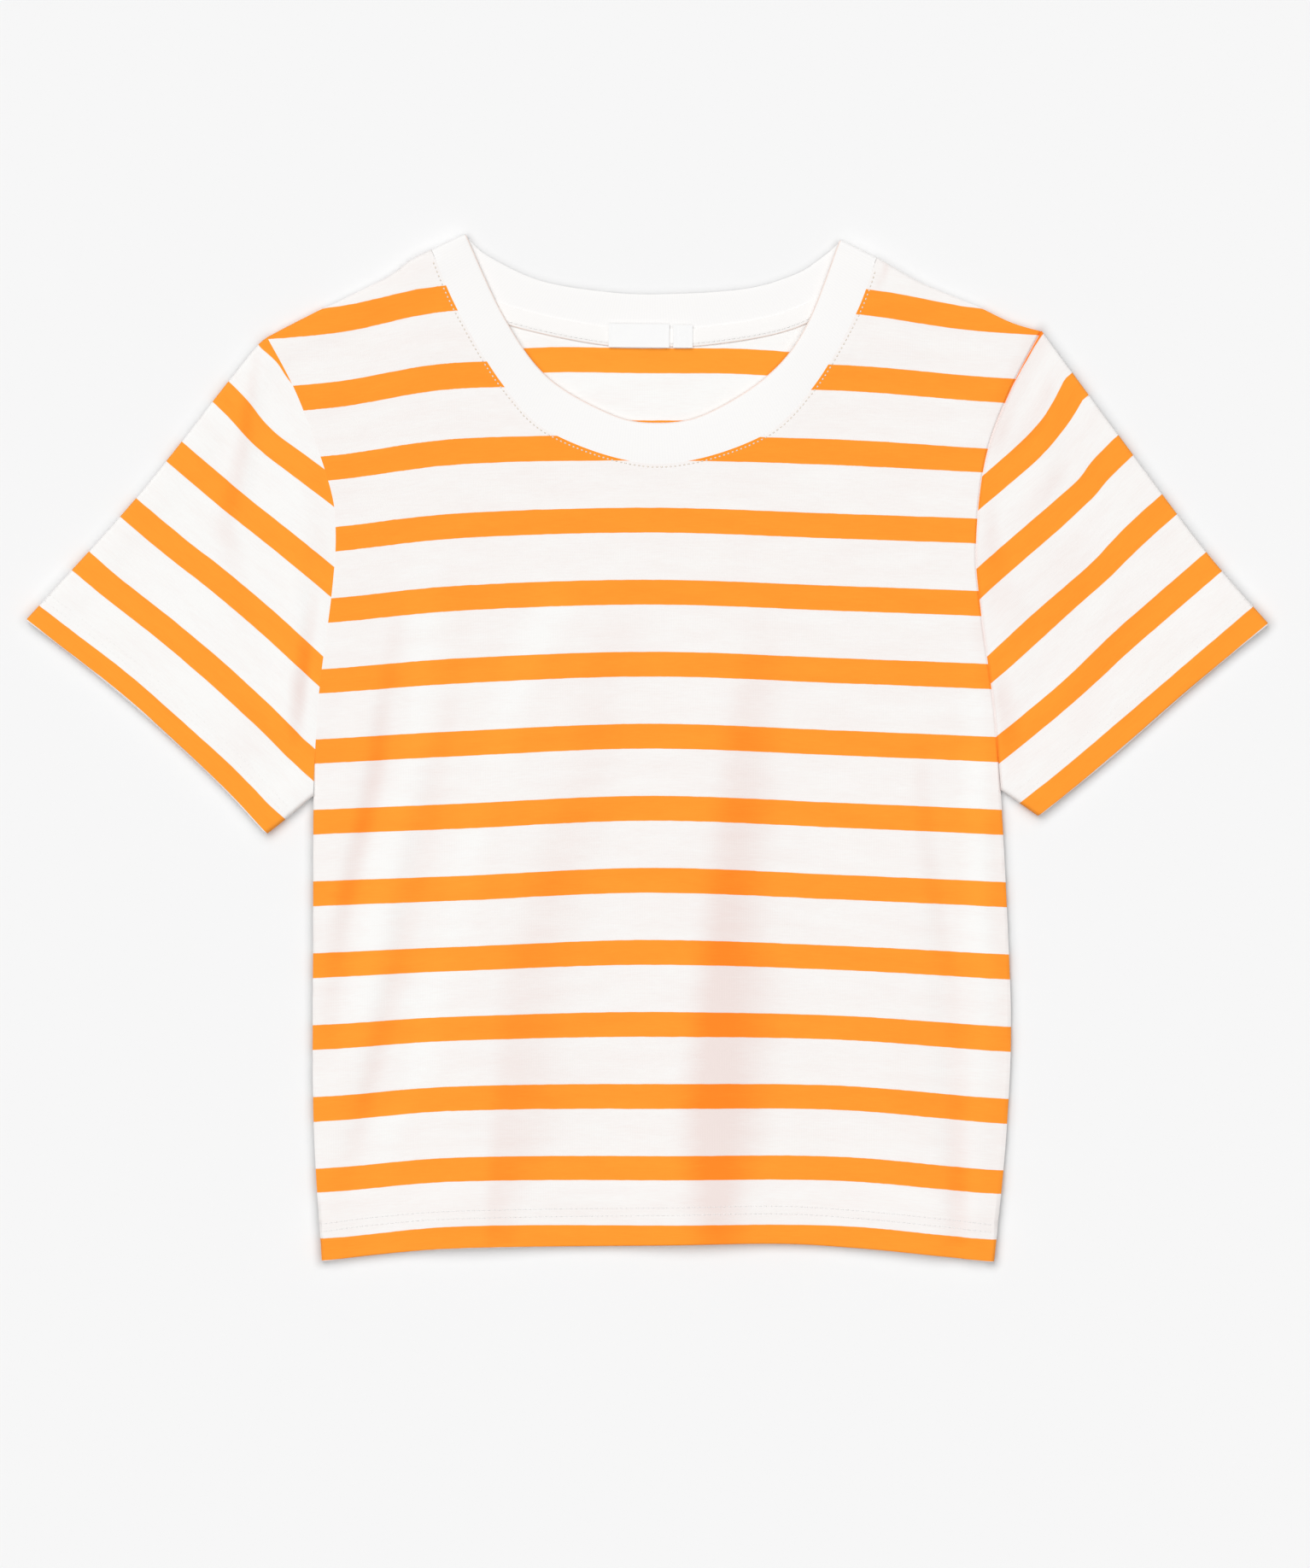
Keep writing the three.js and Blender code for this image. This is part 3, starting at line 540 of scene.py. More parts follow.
jersey, tree, shader, place = cloth_material("striped_jersey", 0.92, 0.03)
surface = use_group(tree, knit, place)
yarn = surface.outputs["Yarn"]
_, up, shade = split_vector(tree, place)
height = math_node(tree, "ADD", up, centred(tree, yarn, EDGE_WANDER))
within = math_node(tree, "FRACT", math_node(tree, "DIVIDE", height, STRIPE_PERIOD))
rise = math_node(tree, "DIVIDE", within, EDGE_BLUR)
fall = math_node(tree, "DIVIDE", math_node(tree, "SUBTRACT", STRIPE_SHARE, within), EDGE_BLUR)
stripe = clamped(tree, math_node(tree, "MINIMUM", rise, fall))

# Painted shade: the cloth's colour turns warmer and darker in its hollows, with faint clouds of random tone
# over the whole of it.
cloud = centred(tree, noise(tree, place, (26, 110, 0), 5), 0.55)
painted_shade = math_node(tree, "ADD", math_node(tree, "ADD", shade, cloud), centred(tree, yarn, 0.45))
painted_shade = clamped(tree, painted_shade)
white = colour_mix(tree, painted_shade, JERSEY_WHITE, WHITE_IN_PAINTED_SHADE)
orange = colour_mix(tree, painted_shade, STRIPE_ORANGE, ORANGE_IN_PAINTED_SHADE)
tree.links.new(colour_mix(tree, stripe, white, orange), shader.inputs["Base Color"])
add_bump(tree, shader, surface.outputs["Height"], 0.12, 0.0001)


def dress(piece, material, node, slot, under, flat, held="laid", **area):
    """Gives a piece its material, hangs it from the root and hides its solid. How it was cut and how it lies
    are not used.
    """
    piece.data.materials.append(material)
    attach(piece, "root")
    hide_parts(node)


BODY_CUT = (0.416, 0.556)
dress(back, jersey, "back", "striped_jersey", "table", BODY_CUT, area=0.185)


# The front panel
# Of the same jersey, laid on the back. Its sides and shoulders roll over to the seams, its hem is turned
# up like the back's, and soft folds run down it from the chest.

front_neck_sewn = Edge(
    (-0.1129, 0.2603), (-0.0995, 0.2295), (-0.0756, 0.1904), (-0.0486, 0.1647), (0.0045, 0.1494),
    (0.0572, 0.1625), (0.086, 0.1881), (0.1094, 0.2273), (0.1201, 0.2562),
)
to_front_neck = lookup([front_neck_sewn])

# The air between the layers, each layer's wall in the solids, how far the upper layer puffs up inside its
# edges and where it rolls over, and how a doubled hem, the tape below and the neck's allowance lift it.
LAYER_GAP = 0.0004
WALL_IN_SOLID = 0.0011
FOLD_LOFT = 0.0011
PUFF = 0.0008
PUFF_EDGE = 0.016
HEM_EASE = 0.034
HEM_STEP = 0.0021
TAPE_LIFT = 0.0013
ALLOWANCE = 0.0067
NECK_MIDDLE = 0.004
HALF_HEM = 0.17

# Soft folds: where the crest starts and ends, its width to the left and right, its height, the length
# over which it swells, and the length over which it dies away.
SOFT_FOLDS = [
    ((-0.142, 0.052), (-0.171, -0.112), 0.017, 0.012, 0.0013, 0.055, 0.04),
    ((-0.116, 0.025), (-0.165, -0.222), 0.019, 0.014, 0.0017, 0.07, 0.05),
    ((-0.07, 0.04), (-0.094, -0.262), 0.042, 0.062, 0.0022, 0.12, 0),
    ((0.03, 0.082), (0.025, -0.262), 0.05, 0.046, 0.0026, 0.13, 0),
    ((0.136, 0.025), (0.15, -0.264), 0.058, 0.017, 0.002, 0.11, 0),
    ((0.176, 0.01), (0.172, -0.264), 0.011, 0.015, 0.0012, 0.06, 0),
    ((-0.206, 0.208), (-0.222, 0.092), 0.013, 0.01, 0.0011, 0.03, 0.05),
    ((-0.182, 0.128), (-0.19, -0.006), 0.013, 0.009, 0.001, 0.05, 0.04),
    ((0.212, 0.205), (0.204, 0.09), 0.011, 0.015, 0.001, 0.03, 0.06),
    ((0.186, 0.12), (0.199, 0), 0.01, 0.016, 0.0009, 0.05, 0.04),
]


def fold_lift(fold, p):
    """How far one soft fold lifts the cloth at a point."""
    start, end, left, right, lift, swell, tail = fold
    share = (start[1] - p.y) / (start[1] - end[1])
    if share < 0:
        return 0
    crest = mix(start[0], end[0], min(share, 1))
    across = (crest - p.x) / left if p.x < crest else (p.x - crest) / right
    if across >= 1:
        return 0
    fade = 1 - smooth(end[1] - p.y, -tail, 0) if tail else 1
    return lift * smooth(start[1] - p.y, 0, swell) * fade * math.cos(across * math.pi / 2) ** 2


def upper_height(p, rise):
    """Height of the upper layer's outer face. rise is its extra height over a doubled hem, 0 to 1."""
    over_tape = smooth(p.y, 0.188, 0.212) * (1 - smooth(abs(p.x - NECK_MIDDLE), 0.126, 0.15))
    edge = smooth(distance(to_fold, p), 0, PUFF_EDGE)
    folds = sum(fold_lift(fold, p) for fold in SOFT_FOLDS)
    loft = FOLD_LOFT * (1 - smooth(distance(to_fold, p), 0.004, 0.02))
    air = LAYER_GAP + loft + edge * (PUFF + folds) + over_tape * TAPE_LIFT
    return 2 * WALL_IN_SOLID + air + rise * HEM_STEP


arms = [[armhole.at(run) for run in stations(armhole.length)] for armhole in armholes]
front_rows = body_plan(front_neck_sewn, *arms)
hem_line = front_rows[len(HEM_ROWS)]


def front_surface(p, rise):
    """The front's right side at a point: rolled over at the sides, and drawn in at the sewn edges."""
    neck = distance(to_front_neck, p)
    ridge = 0.0001 * (1 - smooth(neck, ALLOWANCE - 0.001, ALLOWANCE + 0.0012))
    top = upper_height(p, rise) - seam_dip(p) + ridge
    return mix(SEAM_HEIGHT, top, rounded(distance(to_fold, p)))


def front_height(p, row):
    if row < len(HEM_ROWS):
        return front_surface(p, 1) + hem_curl(distance(to_hem, p))
    bow = 1 - min(1, abs(p.x) / HALF_HEM) ** 2
    above = p.y - mix(hem_line[0].y, hem_line[len(hem_line) // 2].y, bow)
    return front_surface(p, 1 - smooth(above, 0, HEM_EASE))


# Where the folds lie in shade: points down each hollow, with its width, or its widths to the left and
# right, and how deep the shade is. Below 0 it is lit instead.
BODY_HOLLOWS = [
    [
        (0.1275, 0.257, 0.003, 0.1), (0.1262, 0.2535, 0.003, 0.45), (0.1225, 0.2445, 0.0035, 0.3),
        (0.1205, 0.2405, 0.0035, 0),
    ],
    [
        (-0.130, 0.080, 0.008, 0), (-0.1319, 0.0653, 0.008, 0.12), (-0.1386, 0.0248, 0.008, 0.28),
        (-0.1431, -0.0135, 0.009, 0.6), (-0.1521, -0.0518, 0.009, 0.5),
        (-0.1611, -0.09, 0.01, 0.009, 0.34), (-0.1665, -0.1283, 0.009, 0.22), (-0.169, -0.17, 0.008, 0),
    ],
    [
        (-0.096, 0.08, 0.009, 0), (-0.0981, 0.0653, 0.009, 0.07), (-0.1026, 0.0248, 0.009, 0.12),
        (-0.1107, -0.0135, 0.009, 0.18), (-0.1161, -0.0518, 0.009, 0.18), (-0.1251, -0.09, 0.009, 0.2),
        (-0.1341, -0.1283, 0.009, 0.01, 0.26), (-0.1431, -0.1656, 0.009, 0.01, 0.36),
        (-0.153, -0.2034, 0.009, 0.24), (-0.162, -0.2363, 0.009, 0.05), (-0.165, -0.25, 0.009, 0),
    ],
    [
        (-0.012, 0.09, 0.015, 0.028, 0), (-0.0171, 0.0653, 0.015, 0.028, 0.08),
        (-0.0306, 0.0248, 0.016, 0.028, 0.16), (-0.0306, -0.0135, 0.018, 0.028, 0.17),
        (-0.0464, -0.0518, 0.02, 0.03, 0.24), (-0.0554, -0.09, 0.02, 0.032, 0.27),
        (-0.0666, -0.1283, 0.018, 0.032, 0.31), (-0.0711, -0.1656, 0.015, 0.038, 0.37),
        (-0.0765, -0.2034, 0.011, 0.04, 0.42), (-0.0801, -0.2385, 0.008, 0.02, 0.4),
        (-0.081, -0.262, 0.008, 0.018, 0.25),
    ],
    [
        (0.068, 0.09, 0.014, 0.02, 0), (0.0594, 0.0608, 0.014, 0.022, 0.12),
        (0.0531, 0.0248, 0.016, 0.024, 0.37), (0.0495, -0.0135, 0.018, 0.026, 0.5),
        (0.0459, -0.0518, 0.02, 0.028, 0.6), (0.0414, -0.09, 0.02, 0.03, 0.74),
        (0.0378, -0.1283, 0.02, 0.042, 0.8), (0.0356, -0.1656, 0.022, 0.042, 0.84),
        (0.0333, -0.2034, 0.024, 0.041, 0.88), (0.0369, -0.2385, 0.024, 0.022, 0.82),
        (0.0369, -0.262, 0.02, 0.5),
    ],
    [
        (0.1427, 0.015, 0.009, 0.008, 0), (0.1449, -0.0135, 0.009, 0.008, 0.19),
        (0.1472, -0.0518, 0.009, 0.008, 0.2), (0.1539, -0.09, 0.009, 0.008, 0.2),
        (0.1607, -0.1283, 0.01, 0.008, 0.2), (0.1629, -0.1656, 0.01, 0.009, 0.22),
        (0.1629, -0.2034, 0.01, 0.009, 0.36), (0.1638, -0.2385, 0.01, 0.009, 0.5),
        (0.164, -0.262, 0.01, 0.009, 0.25),
    ],
    [
        (0.136, -0.13, 0.016, 0), (0.1359, -0.1656, 0.016, 0.1), (0.141, -0.2034, 0.016, 0.1),
        (0.143, -0.23, 0.016, 0),
    ],
    [
        (0.18, 0.095, 0.012, 0.01, 0), (0.178, 0.065, 0.012, 0.32), (0.182, 0.03, 0.012, 0.01, 0.12),
        (0.186, -0.05, 0.012, 0.01, 0.14), (0.19, -0.13, 0.012, 0.01, 0.14),
        (0.184, -0.25, 0.012, 0.01, 0.12),
    ],
    [
        (0.1742, 0.055, 0.014, 0.012, 0), (0.1742, 0.01, 0.014, 0.012, -0.22),
        (0.1742, -0.0976, 0.012, -0.25), (0.1787, -0.1283, 0.012, -0.18), (0.1787, -0.22, 0.012, 0),
    ],
    [
        (-0.118, 0.11, 0.018, 0.014, 0), (-0.118, 0.0653, 0.018, 0.014, -0.18),
        (-0.1207, 0.0063, 0.012, -0.2), (-0.136, -0.0518, 0.014, -0.18), (-0.143, -0.09, 0.014, -0.25),
        (-0.149, -0.1283, 0.014, -0.22), (-0.162, -0.18, 0.01, 0),
    ],
    [
        (-0.09, 0, 0.018, 0.016, 0), (-0.0936, -0.05, 0.018, 0.016, -0.24),
        (-0.1, -0.09, 0.018, 0.016, -0.12), (-0.116, -0.1283, 0.016, -0.2), (-0.118, -0.1656, 0.016, -0.2),
        (-0.138, -0.2034, 0.014, -0.2), (-0.14, -0.235, 0.014, 0),
    ],
    [
        (-0.0486, 0.1, 0.018, 0), (-0.0486, 0.075, 0.018, -0.26), (-0.065, 0.045, 0.02, 0.016, -0.22),
        (-0.0756, 0.0063, 0.02, 0.016, -0.2), (-0.08, -0.03, 0.016, 0.014, 0),
    ],
]
# An even painted shade over all of the front.
FRONT_PAINTED_SHADE = 0.25


def cross_section(point):
    """The middle, left and right width and depth of a hollow at one of its points."""
    x, _, *widths, depth = point
    return x, widths[0], widths[-1], depth


def hollow_shade(hollows, p):
    """How far a point lies in the shade of the hollows, from 0."""
    shade = 0
    for line in hollows:
        for upper, lower in zip(line, line[1:]):
            if lower[1] <= p.y < upper[1]:
                share = (upper[1] - p.y) / (upper[1] - lower[1])
                sections = zip(cross_section(upper), cross_section(lower))
                x, left, right, depth = (mix(a, b, share) for a, b in sections)
                across = (x - p.x) / left if p.x < x else (p.x - x) / right
                if across < 1:
                    shade += depth * math.cos(across * math.pi / 2) ** 2
    return shade


# The painted shade on the front: an even base, deeper in the hollows and beside the right armhole seam.
def front_painted_shade(p):
    return FRONT_PAINTED_SHADE + hollow_shade(BODY_HOLLOWS, p) + seam_shade(p)


front = lay_panel("front_panel", front_rows, front_height, body_stripe, front_painted_shade, 1)
dress(front, jersey, "front", "striped_jersey", "back_panel", BODY_CUT, area=0.171)


# The sleeves
# Each is one piece of the same jersey, folded along the top of the arm and closed by a short seam under
# the arm, with its cuff turned up. It lies flat as a tube, and is sewn to both panels at the armhole.

left_cuff = Edge(
    (-0.3276, 0.0671), (-0.293, 0.0406), (-0.2583, 0.0115), (-0.226, -0.0189), (-0.2008, -0.0459),
)
right_cuff = Edge(
    (0.3276, 0.065), (0.2867, 0.0317), (0.2462, -0.0038), (0.22, -0.0254), (0.2062, -0.0364),
)
to_cuff = {"left": lookup([left_cuff]), "right": lookup([right_cuff])}
CUFF_PEEK = 0.0008
SLEEVE_STRIPE_SHIFT = 0.0006

# How the sleeves' stripes bend. Each line gives a distance up the sleeve, and the places along the cuff,
# from the top of the arm, where the cloth there counts as further up, with how far.
SLEEVE_BEND = {
    "left": [
        (0.19, [
            (-0.01, -0.002), (-0.003, -0.0002), (0.008, 0), (0.0194, 0.0028), (0.036, 0.0045),
            (0.06, 0.005),
        ]),
        (0.1643, [
            (0, -0.0004), (0.011, 0.0005), (0.025, 0.003), (0.036, 0.0033), (0.051, 0.0017), (0.08, -0.001),
        ]),
        (0.1265, [(0, 0.0016), (0.02, 0.0012), (0.045, 0.0005), (0.08, -0.0015), (0.115, -0.0029)]),
        (0.0885, [
            (0, 0.002), (0.024, 0.0013), (0.042, 0.0005), (0.0585, -0.0008), (0.094, -0.0018),
            (0.13, -0.0013),
        ]),
        (0.0505, [
            (0, 0.0014), (0.022, 0.0012), (0.056, -0.0009), (0.091, -0.002), (0.128, -0.0014), (0.15, 0),
        ]),
        (0.0126, [
            (0, 0.0025), (0.0275, 0.0002), (0.0614, -0.0022), (0.0975, -0.0024), (0.134, -0.002), (0.16, 0),
        ]),
        (0, [
            (0, 0), (0.02, -0.0009), (0.0365, -0.0024), (0.07, -0.0049), (0.107, -0.004),
            (0.1445, -0.0023), (0.165, 0),
        ]),
    ],
    "right": [
        (0.19, [(-0.01, -0.004), (-0.003, -0.0033), (0.0193, 0.0051), (0.035, 0.011), (0.06, 0.0115)]),
        (0.1674, [
            (0, -0.0035), (0.0045, -0.0015), (0.0135, 0.0021), (0.0243, 0.0056), (0.0374, 0.0069),
            (0.07, 0.0084),
        ]),
        (0.15, [(0, -0.0018), (0.0135, 0.0026), (0.035, 0.0069), (0.06, 0.0077), (0.09, 0.0077)]),
        (0.1265, [
            (0, -0.0007), (0.016, 0.0009), (0.0266, 0.0036), (0.0355, 0.0042), (0.0837, 0.005),
            (0.11, 0.006),
        ]),
        (0.0885, [
            (0, 0), (0.019, 0.0006), (0.0355, 0.0021), (0.053, 0.0042), (0.094, 0.005), (0.125, 0.0068),
        ]),
        (0.0505, [
            (0, 0.0003), (0.038, 0.001), (0.068, 0.0018), (0.099, 0.0042), (0.13, 0.0045), (0.16, 0.004),
        ]),
        (0.0126, [
            (0, 0.0002), (0.038, 0.0006), (0.07, 0.001), (0.1, 0.0014), (0.13, 0.0016), (0.16, 0.0009),
        ]),
    ],
}


def sleeve_place(p, corner, along, bend):
    """The place of a point on a sleeve's flat cloth: along the cuff, and up from it."""
    up = Vector((-along.y, along.x)) if along.x > 0 else Vector((along.y, -along.x))
    a = (p - corner).dot(along)
    b = (p - corner).dot(up)
    return Vector((a, b + between_lines(bend, b, a) + SLEEVE_STRIPE_SHIFT))


# Where the sleeves' folds lie in shade, as for the body.
SLEEVE_HOLLOWS = {
    "left": [
        [
            (-0.206, 0.21, 0.004, 0), (-0.2075, 0.197, 0.005, 0.35), (-0.213, 0.157, 0.007, 0.006, 0.5),
            (-0.222, 0.115, 0.012, 0.008, 0.35), (-0.217, 0.096, 0.012, 0.008, 0.2),
            (-0.21, 0.06, 0.01, 0),
        ],
        [
            (-0.174, 0.09, 0.004, 0), (-0.1765, 0.07, 0.007, 0.005, 0.35),
            (-0.179, 0.054, 0.008, 0.005, 0.45), (-0.1825, 0.032, 0.009, 0.006, 0.8),
            (-0.184, 0.018, 0.008, 0.006, 0.7), (-0.186, 0, 0.006, 0),
        ],
        [
            (-0.176, 0.16, 0.01, 0), (-0.174, 0.13, 0.012, 0.01, 0.14),
            (-0.172, 0.105, 0.012, 0.008, 0.12), (-0.172, 0.085, 0.012, 0.008, 0),
        ],
        [
            (-0.215, 0.03, 0.02, 0.015, 0), (-0.211, 0, 0.02, 0.015, 0.14),
            (-0.208, -0.02, 0.02, 0.015, 0),
        ],
    ],
    "right": [
        [
            (0.213, 0.2, 0.006, 0), (0.211, 0.187, 0.008, 0.006, 0.35), (0.2, 0.165, 0.012, 0.01, 0.3),
            (0.187, 0.15, 0.012, 0.01, 0),
        ],
        [
            (0.192, 0.185, 0.006, 0.007, 0), (0.187, 0.167, 0.006, 0.007, 0.4),
            (0.182, 0.155, 0.006, 0.007, 0.2), (0.18, 0.145, 0.006, 0),
        ],
        [
            (0.221, 0.153, 0.008, 0.006, 0), (0.2155, 0.141, 0.01, 0.006, 0.38),
            (0.204, 0.126, 0.016, 0.01, 0.3), (0.195, 0.11, 0.012, 0.01, 0),
        ],
        [
            (0.181, 0.135, 0.006, 0), (0.181, 0.115, 0.007, 0.35), (0.183, 0.09, 0.01, 0.014, 0.2),
            (0.187, 0.075, 0.014, 0.02, 0.26), (0.19, 0.055, 0.014, 0.02, 0),
        ],
        [
            (0.228, 0.115, 0.02, 0), (0.223, 0.097, 0.025, 0.02, 0.24), (0.218, 0.075, 0.03, 0.02, 0.1),
            (0.21, 0.05, 0.02, 0),
        ],
        [
            (0.184, 0.045, 0.005, 0.008, 0), (0.187, 0.024, 0.006, 0.012, 0.5),
            (0.189, 0.01, 0.006, 0.012, 0.4), (0.192, -0.02, 0.008, 0.01, 0),
        ],
        [
            (0.255, 0.09, 0.02, 0), (0.251, 0.07, 0.02, 0.016, 0.2), (0.24, 0.04, 0.02, 0.016, 0.14),
            (0.233, 0.026, 0.02, 0.016, 0.22), (0.222, 0, 0.02, 0.014, 0),
        ],
    ],
}
# An even painted shade over each sleeve's cloth.
SLEEVE_PAINTED_SHADE = {"left": 0.07, "right": 0.2}
SLEEVE_CREASE = 0.0001


def sleeve_underside(p):
    """The lower layer lies on the table, with slight creases."""
    return UNDERSIDE + SLEEVE_CREASE * (1 + math.sin(p.x * 170 + 4 * math.sin(p.y * 23)))


def sleeve_runs(length, count):
    """Distances up a sleeve's edge from the cuff. The last but one is close beside the armhole seam."""
    upwards = [mix(HEM_DEPTH, length, k / count) for k in range(count)]
    beside_seam = length - min(0.001, (length - HEM_DEPTH) / count / 2)
    return [*HEM_ROWS, *upwards, beside_seam, length]


def lay_sleeve(name, side, fold, cuff, underarm, armhole, outwards):
    """A flattened tube from the cuff to the armhole, in rows that run round it from the top of the arm."""
    armhole_runs = list(reversed(stations(armhole.length)))
    sewn = [armhole.at(run) for run in armhole_runs]
    across = [1 - run / armhole.length for run in armhole_runs]
    cuff_points = [cuff.at(share * cuff.length) for share in across]
    fine = stations(cuff.length)[:7]
    cuff_points[:7] = [cuff.at(run) for run in fine]
    cuff_points[-7:] = [cuff.at(cuff.length - run) for run in reversed(fine)]

    count = round((fold.length - HEM_DEPTH) / CELL)
    fold_runs = sleeve_runs(fold.length, count)
    fold_points = [fold.at(run) for run in fold_runs]
    under_points = [underarm.at(run) for run in sleeve_runs(underarm.length, count)]
    up = [run / fold.length for run in fold_runs]
    rows = patch(cuff_points, sewn, fold_points, under_points, across, up)

    last = len(across) - 1
    around = 2 * last
    mesh, cloth, places = cloth_grid(around, len(rows) - 1)
    corner = cuff.line[0]
    along = (cuff.line[-1] - corner).normalized()
    bend = [(height, Edge(*points)) for height, points in SLEEVE_BEND[side]]
    grid = {}
    for vert, i, j in places:
        k = min(j, around - j)
        lower = j > last
        p = rows[i][k].copy()
        edge = min(distance(to_fold, p), (p - rows[i][0]).length, (p - rows[i][-1]).length)
        from_cuff = distance(to_cuff[side], p)
        hem = 1 if i < len(HEM_ROWS) else 1 - smooth(from_cuff - HEM_DEPTH, 0, HEM_EASE)
        curl = hem_curl(from_cuff)
        top = upper_height(p, hem)
        if lower:
            hollow = BACK_ARMHOLE_SHIFT * math.sin(math.pi * across[k]) ** 2 * up[i] ** 4
            peek = CUFF_PEEK * math.sin(math.pi * across[k]) * (1 - min(1, up[i] * 8))
            p += Vector((outwards * hollow, 0)) + (rows[0][k] - rows[-1][k]).normalized() * peek
        if lower or k in (0, last):
            z = mix(top / 2, sleeve_underside(p) + curl, rounded(edge, FOLD_UNDERCUT) if lower else 0)
        else:
            z = mix(top / 2, top + curl - seam_dip(p), rounded(edge))
        place = sleeve_place(rows[i][k], corner, along, bend)
        vert.co = (p.x, p.y, z)
        # The third number is the painted shade: even below, and deeper in the hollows and by the seam above.
        if lower:
            vert[cloth] = (-place.x, place.y, SLEEVE_PAINTED_SHADE[side])
        else:
            shade = hollow_shade(SLEEVE_HOLLOWS[side], p) + seam_shade(p)
            vert[cloth] = (place.x, place.y, SLEEVE_PAINTED_SHADE[side] + shade)
        grid[i, j] = vert
    pairs = {grid[i, around]: grid[i, 0] for i in range(len(rows))}
    bmesh.ops.weld_verts(mesh, targetmap=pairs)
    if outwards > 0:
        bmesh.ops.reverse_faces(mesh, faces=mesh.faces)
    mesh.normal_update()
    turn_up_hem(mesh, grid, around)
    return finish_cloth(name, mesh, JERSEY)


SLEEVE_CUT = (0.5, 0.2)
sleeves = [
    ("left", left_sleeve_fold, left_cuff, left_underarm, left_armhole, -1),
    ("right", right_sleeve_fold, right_cuff, right_underarm, right_armhole, 1),
]
for side, *cut in sleeves:
    sleeve = lay_sleeve(f"{side}_sleeve_cloth", side, *cut)
    dress(sleeve, jersey, f"{side}_sleeve", "striped_jersey", "table", SLEEVE_CUT, area=0.045)


# The neckband
# A ring of fine rib, doubled over, with its fold at the free edge. It lies face up along the front
# neck, turns over at each shoulder, and shows its inside along the back neck.

front_neck_free = Edge(
    (-0.0949, 0.2688), (-0.0752, 0.2264), (-0.0531, 0.1958), (-0.0194, 0.1759), (0.0045, 0.1712),
    (0.0302, 0.1757), (0.0639, 0.1966), (0.0837, 0.2223), (0.1007, 0.2657),
)
back_neck_free = Edge(
    (-0.0949, 0.2688), (-0.084, 0.2592), (-0.0576, 0.2466), (-0.0261, 0.2408), (0.004, 0.239),
    (0.0504, 0.2417), (0.0774, 0.2493), (0.091, 0.2576), (0.1007, 0.2657),
)
BAND_CUT = (0.62, 0.0195)
BAND = 0.0017
BAND_CELL = 0.0022
BAND_SWELL = 0.00025
BAND_SECTION = 26
TURN_STEPS = 12
TURN_HEIGHT = 0.0039
BACK_BAND_HEIGHT = 0.0009
FACE_UP = Vector((0, 0, 1))
FACE_DOWN = Vector((0, 0, -1))
# How far the band's middle lies below the front's own height, at the seam and at the fold.
SEWN_SINK = 0.0007
FREE_SINK = 0.0013
# The band's section: how flat its faces are, how round it is at the seam and at the fold, and the share
# past which it counts as the sewn edge. The pattern of its underside starts at a place of its own.
FACE_FLATNESS = 0.35
SEAM_ROUNDNESS = 0.12
FOLD_ROUNDNESS = 0.7
SEWN_EDGE = 0.94
UNDERSIDE_START = 0.03


def band_station(sewn, free, share, heights, normal):
    """The sewn edge and the fold at one place round the band, and the way that its face looks."""
    low, high = sewn.at(share * sewn.length), free.at(share * free.length)
    low, high = (p.to_3d() + Vector((0, 0, height(p))) for p, height in zip((low, high), heights))
    return [low, high, normal]


def sewn_height(p):
    return upper_height(p, 0) - SEWN_SINK


def free_height(p):
    return upper_height(p, 0) - FREE_SINK


count = round(front_neck_sewn.length / BAND_CELL)
shares = [k / count for k in range(count + 1)]
front_line = [
    band_station(front_neck_sewn, front_neck_free, share, (sewn_height, free_height), FACE_UP)
    for share in shares
]
back_line = [
    band_station(back_neck_sewn, back_neck_free, share, [lambda p: BACK_BAND_HEIGHT] * 2, FACE_DOWN)
    for share in shares
]
for k, station in enumerate(front_line):
    near = 1 - smooth(min(k, count - k) * BAND_CELL, 0, 0.005)
    for point in station[:2]:
        point.z = mix(point.z, TURN_HEIGHT, near)


def band_turn(upper, lower):
    """The stations where the band turns half round the line of the shoulder."""
    made = []
    across = (upper[1] - upper[0]).normalized()
    sideways = across.cross(Vector((0, 0, 1))).normalized()
    if sideways.y < 0:
        sideways.negate()
    for k in range(1, TURN_STEPS):
        angle = math.pi * k / TURN_STEPS
        normal = Vector((0, 0, math.cos(angle))) + sideways * math.sin(angle)
        points = []
        for high, low in zip(upper[:2], lower[:2]):
            centre = Vector((high.x, high.y, (high.z + low.z) / 2))
            points.append(centre + normal * (high.z - low.z) / 2)
        made.append([*points, normal])
    return made


ring = [
    *front_line,
    *band_turn(front_line[-1], back_line[-1]),
    *reversed(back_line),
    *reversed(band_turn(front_line[0], back_line[0])),
]
mesh, cloth, places = cloth_grid(len(ring), BAND_SECTION)
runs = [0]
for one, other in zip(ring, [*ring[1:], ring[0]]):
    runs.append(runs[-1] + ((one[0] + one[1]) / 2 - (other[0] + other[1]) / 2).length)
for vert, round_section, i in places:
    angle = 2 * math.pi * round_section / BAND_SECTION
    sewn, free, normal = ring[i % len(ring)]
    width = (free - sewn).length
    around = math.copysign(abs(math.cos(angle)) ** FACE_FLATNESS, math.cos(angle))
    around = -1 if around < -SEWN_EDGE else around
    roundness = SEAM_ROUNDNESS if around < 0 else FOLD_ROUNDNESS
    through = math.copysign(abs(math.sin(angle)) ** roundness, math.sin(angle))
    along = (around + 1) / 2
    swell = BAND_SWELL * math.sin(math.pi * along) * max(0, normal.z) if through > 0 else 0
    vert.co = sewn.lerp(free, along) + normal * (through * BAND / 2 + swell)
    # Painted shade: along the fold of the band's face-up part, the colour is made warmer and darker.
    painted_fold_shade = smooth(along, 0.95, 1) * max(0, normal.z)
    vert[cloth] = (runs[i], along * width + (UNDERSIDE_START if through < 0 else 0), painted_fold_shade)
bmesh.ops.remove_doubles(mesh, verts=mesh.verts, dist=1e-7)
bmesh.ops.recalc_face_normals(mesh, faces=mesh.faces)
for edge in mesh.edges:
    edge.smooth = edge.calc_face_angle(0) < 0.7
band = make_object("neckband_rib", mesh)

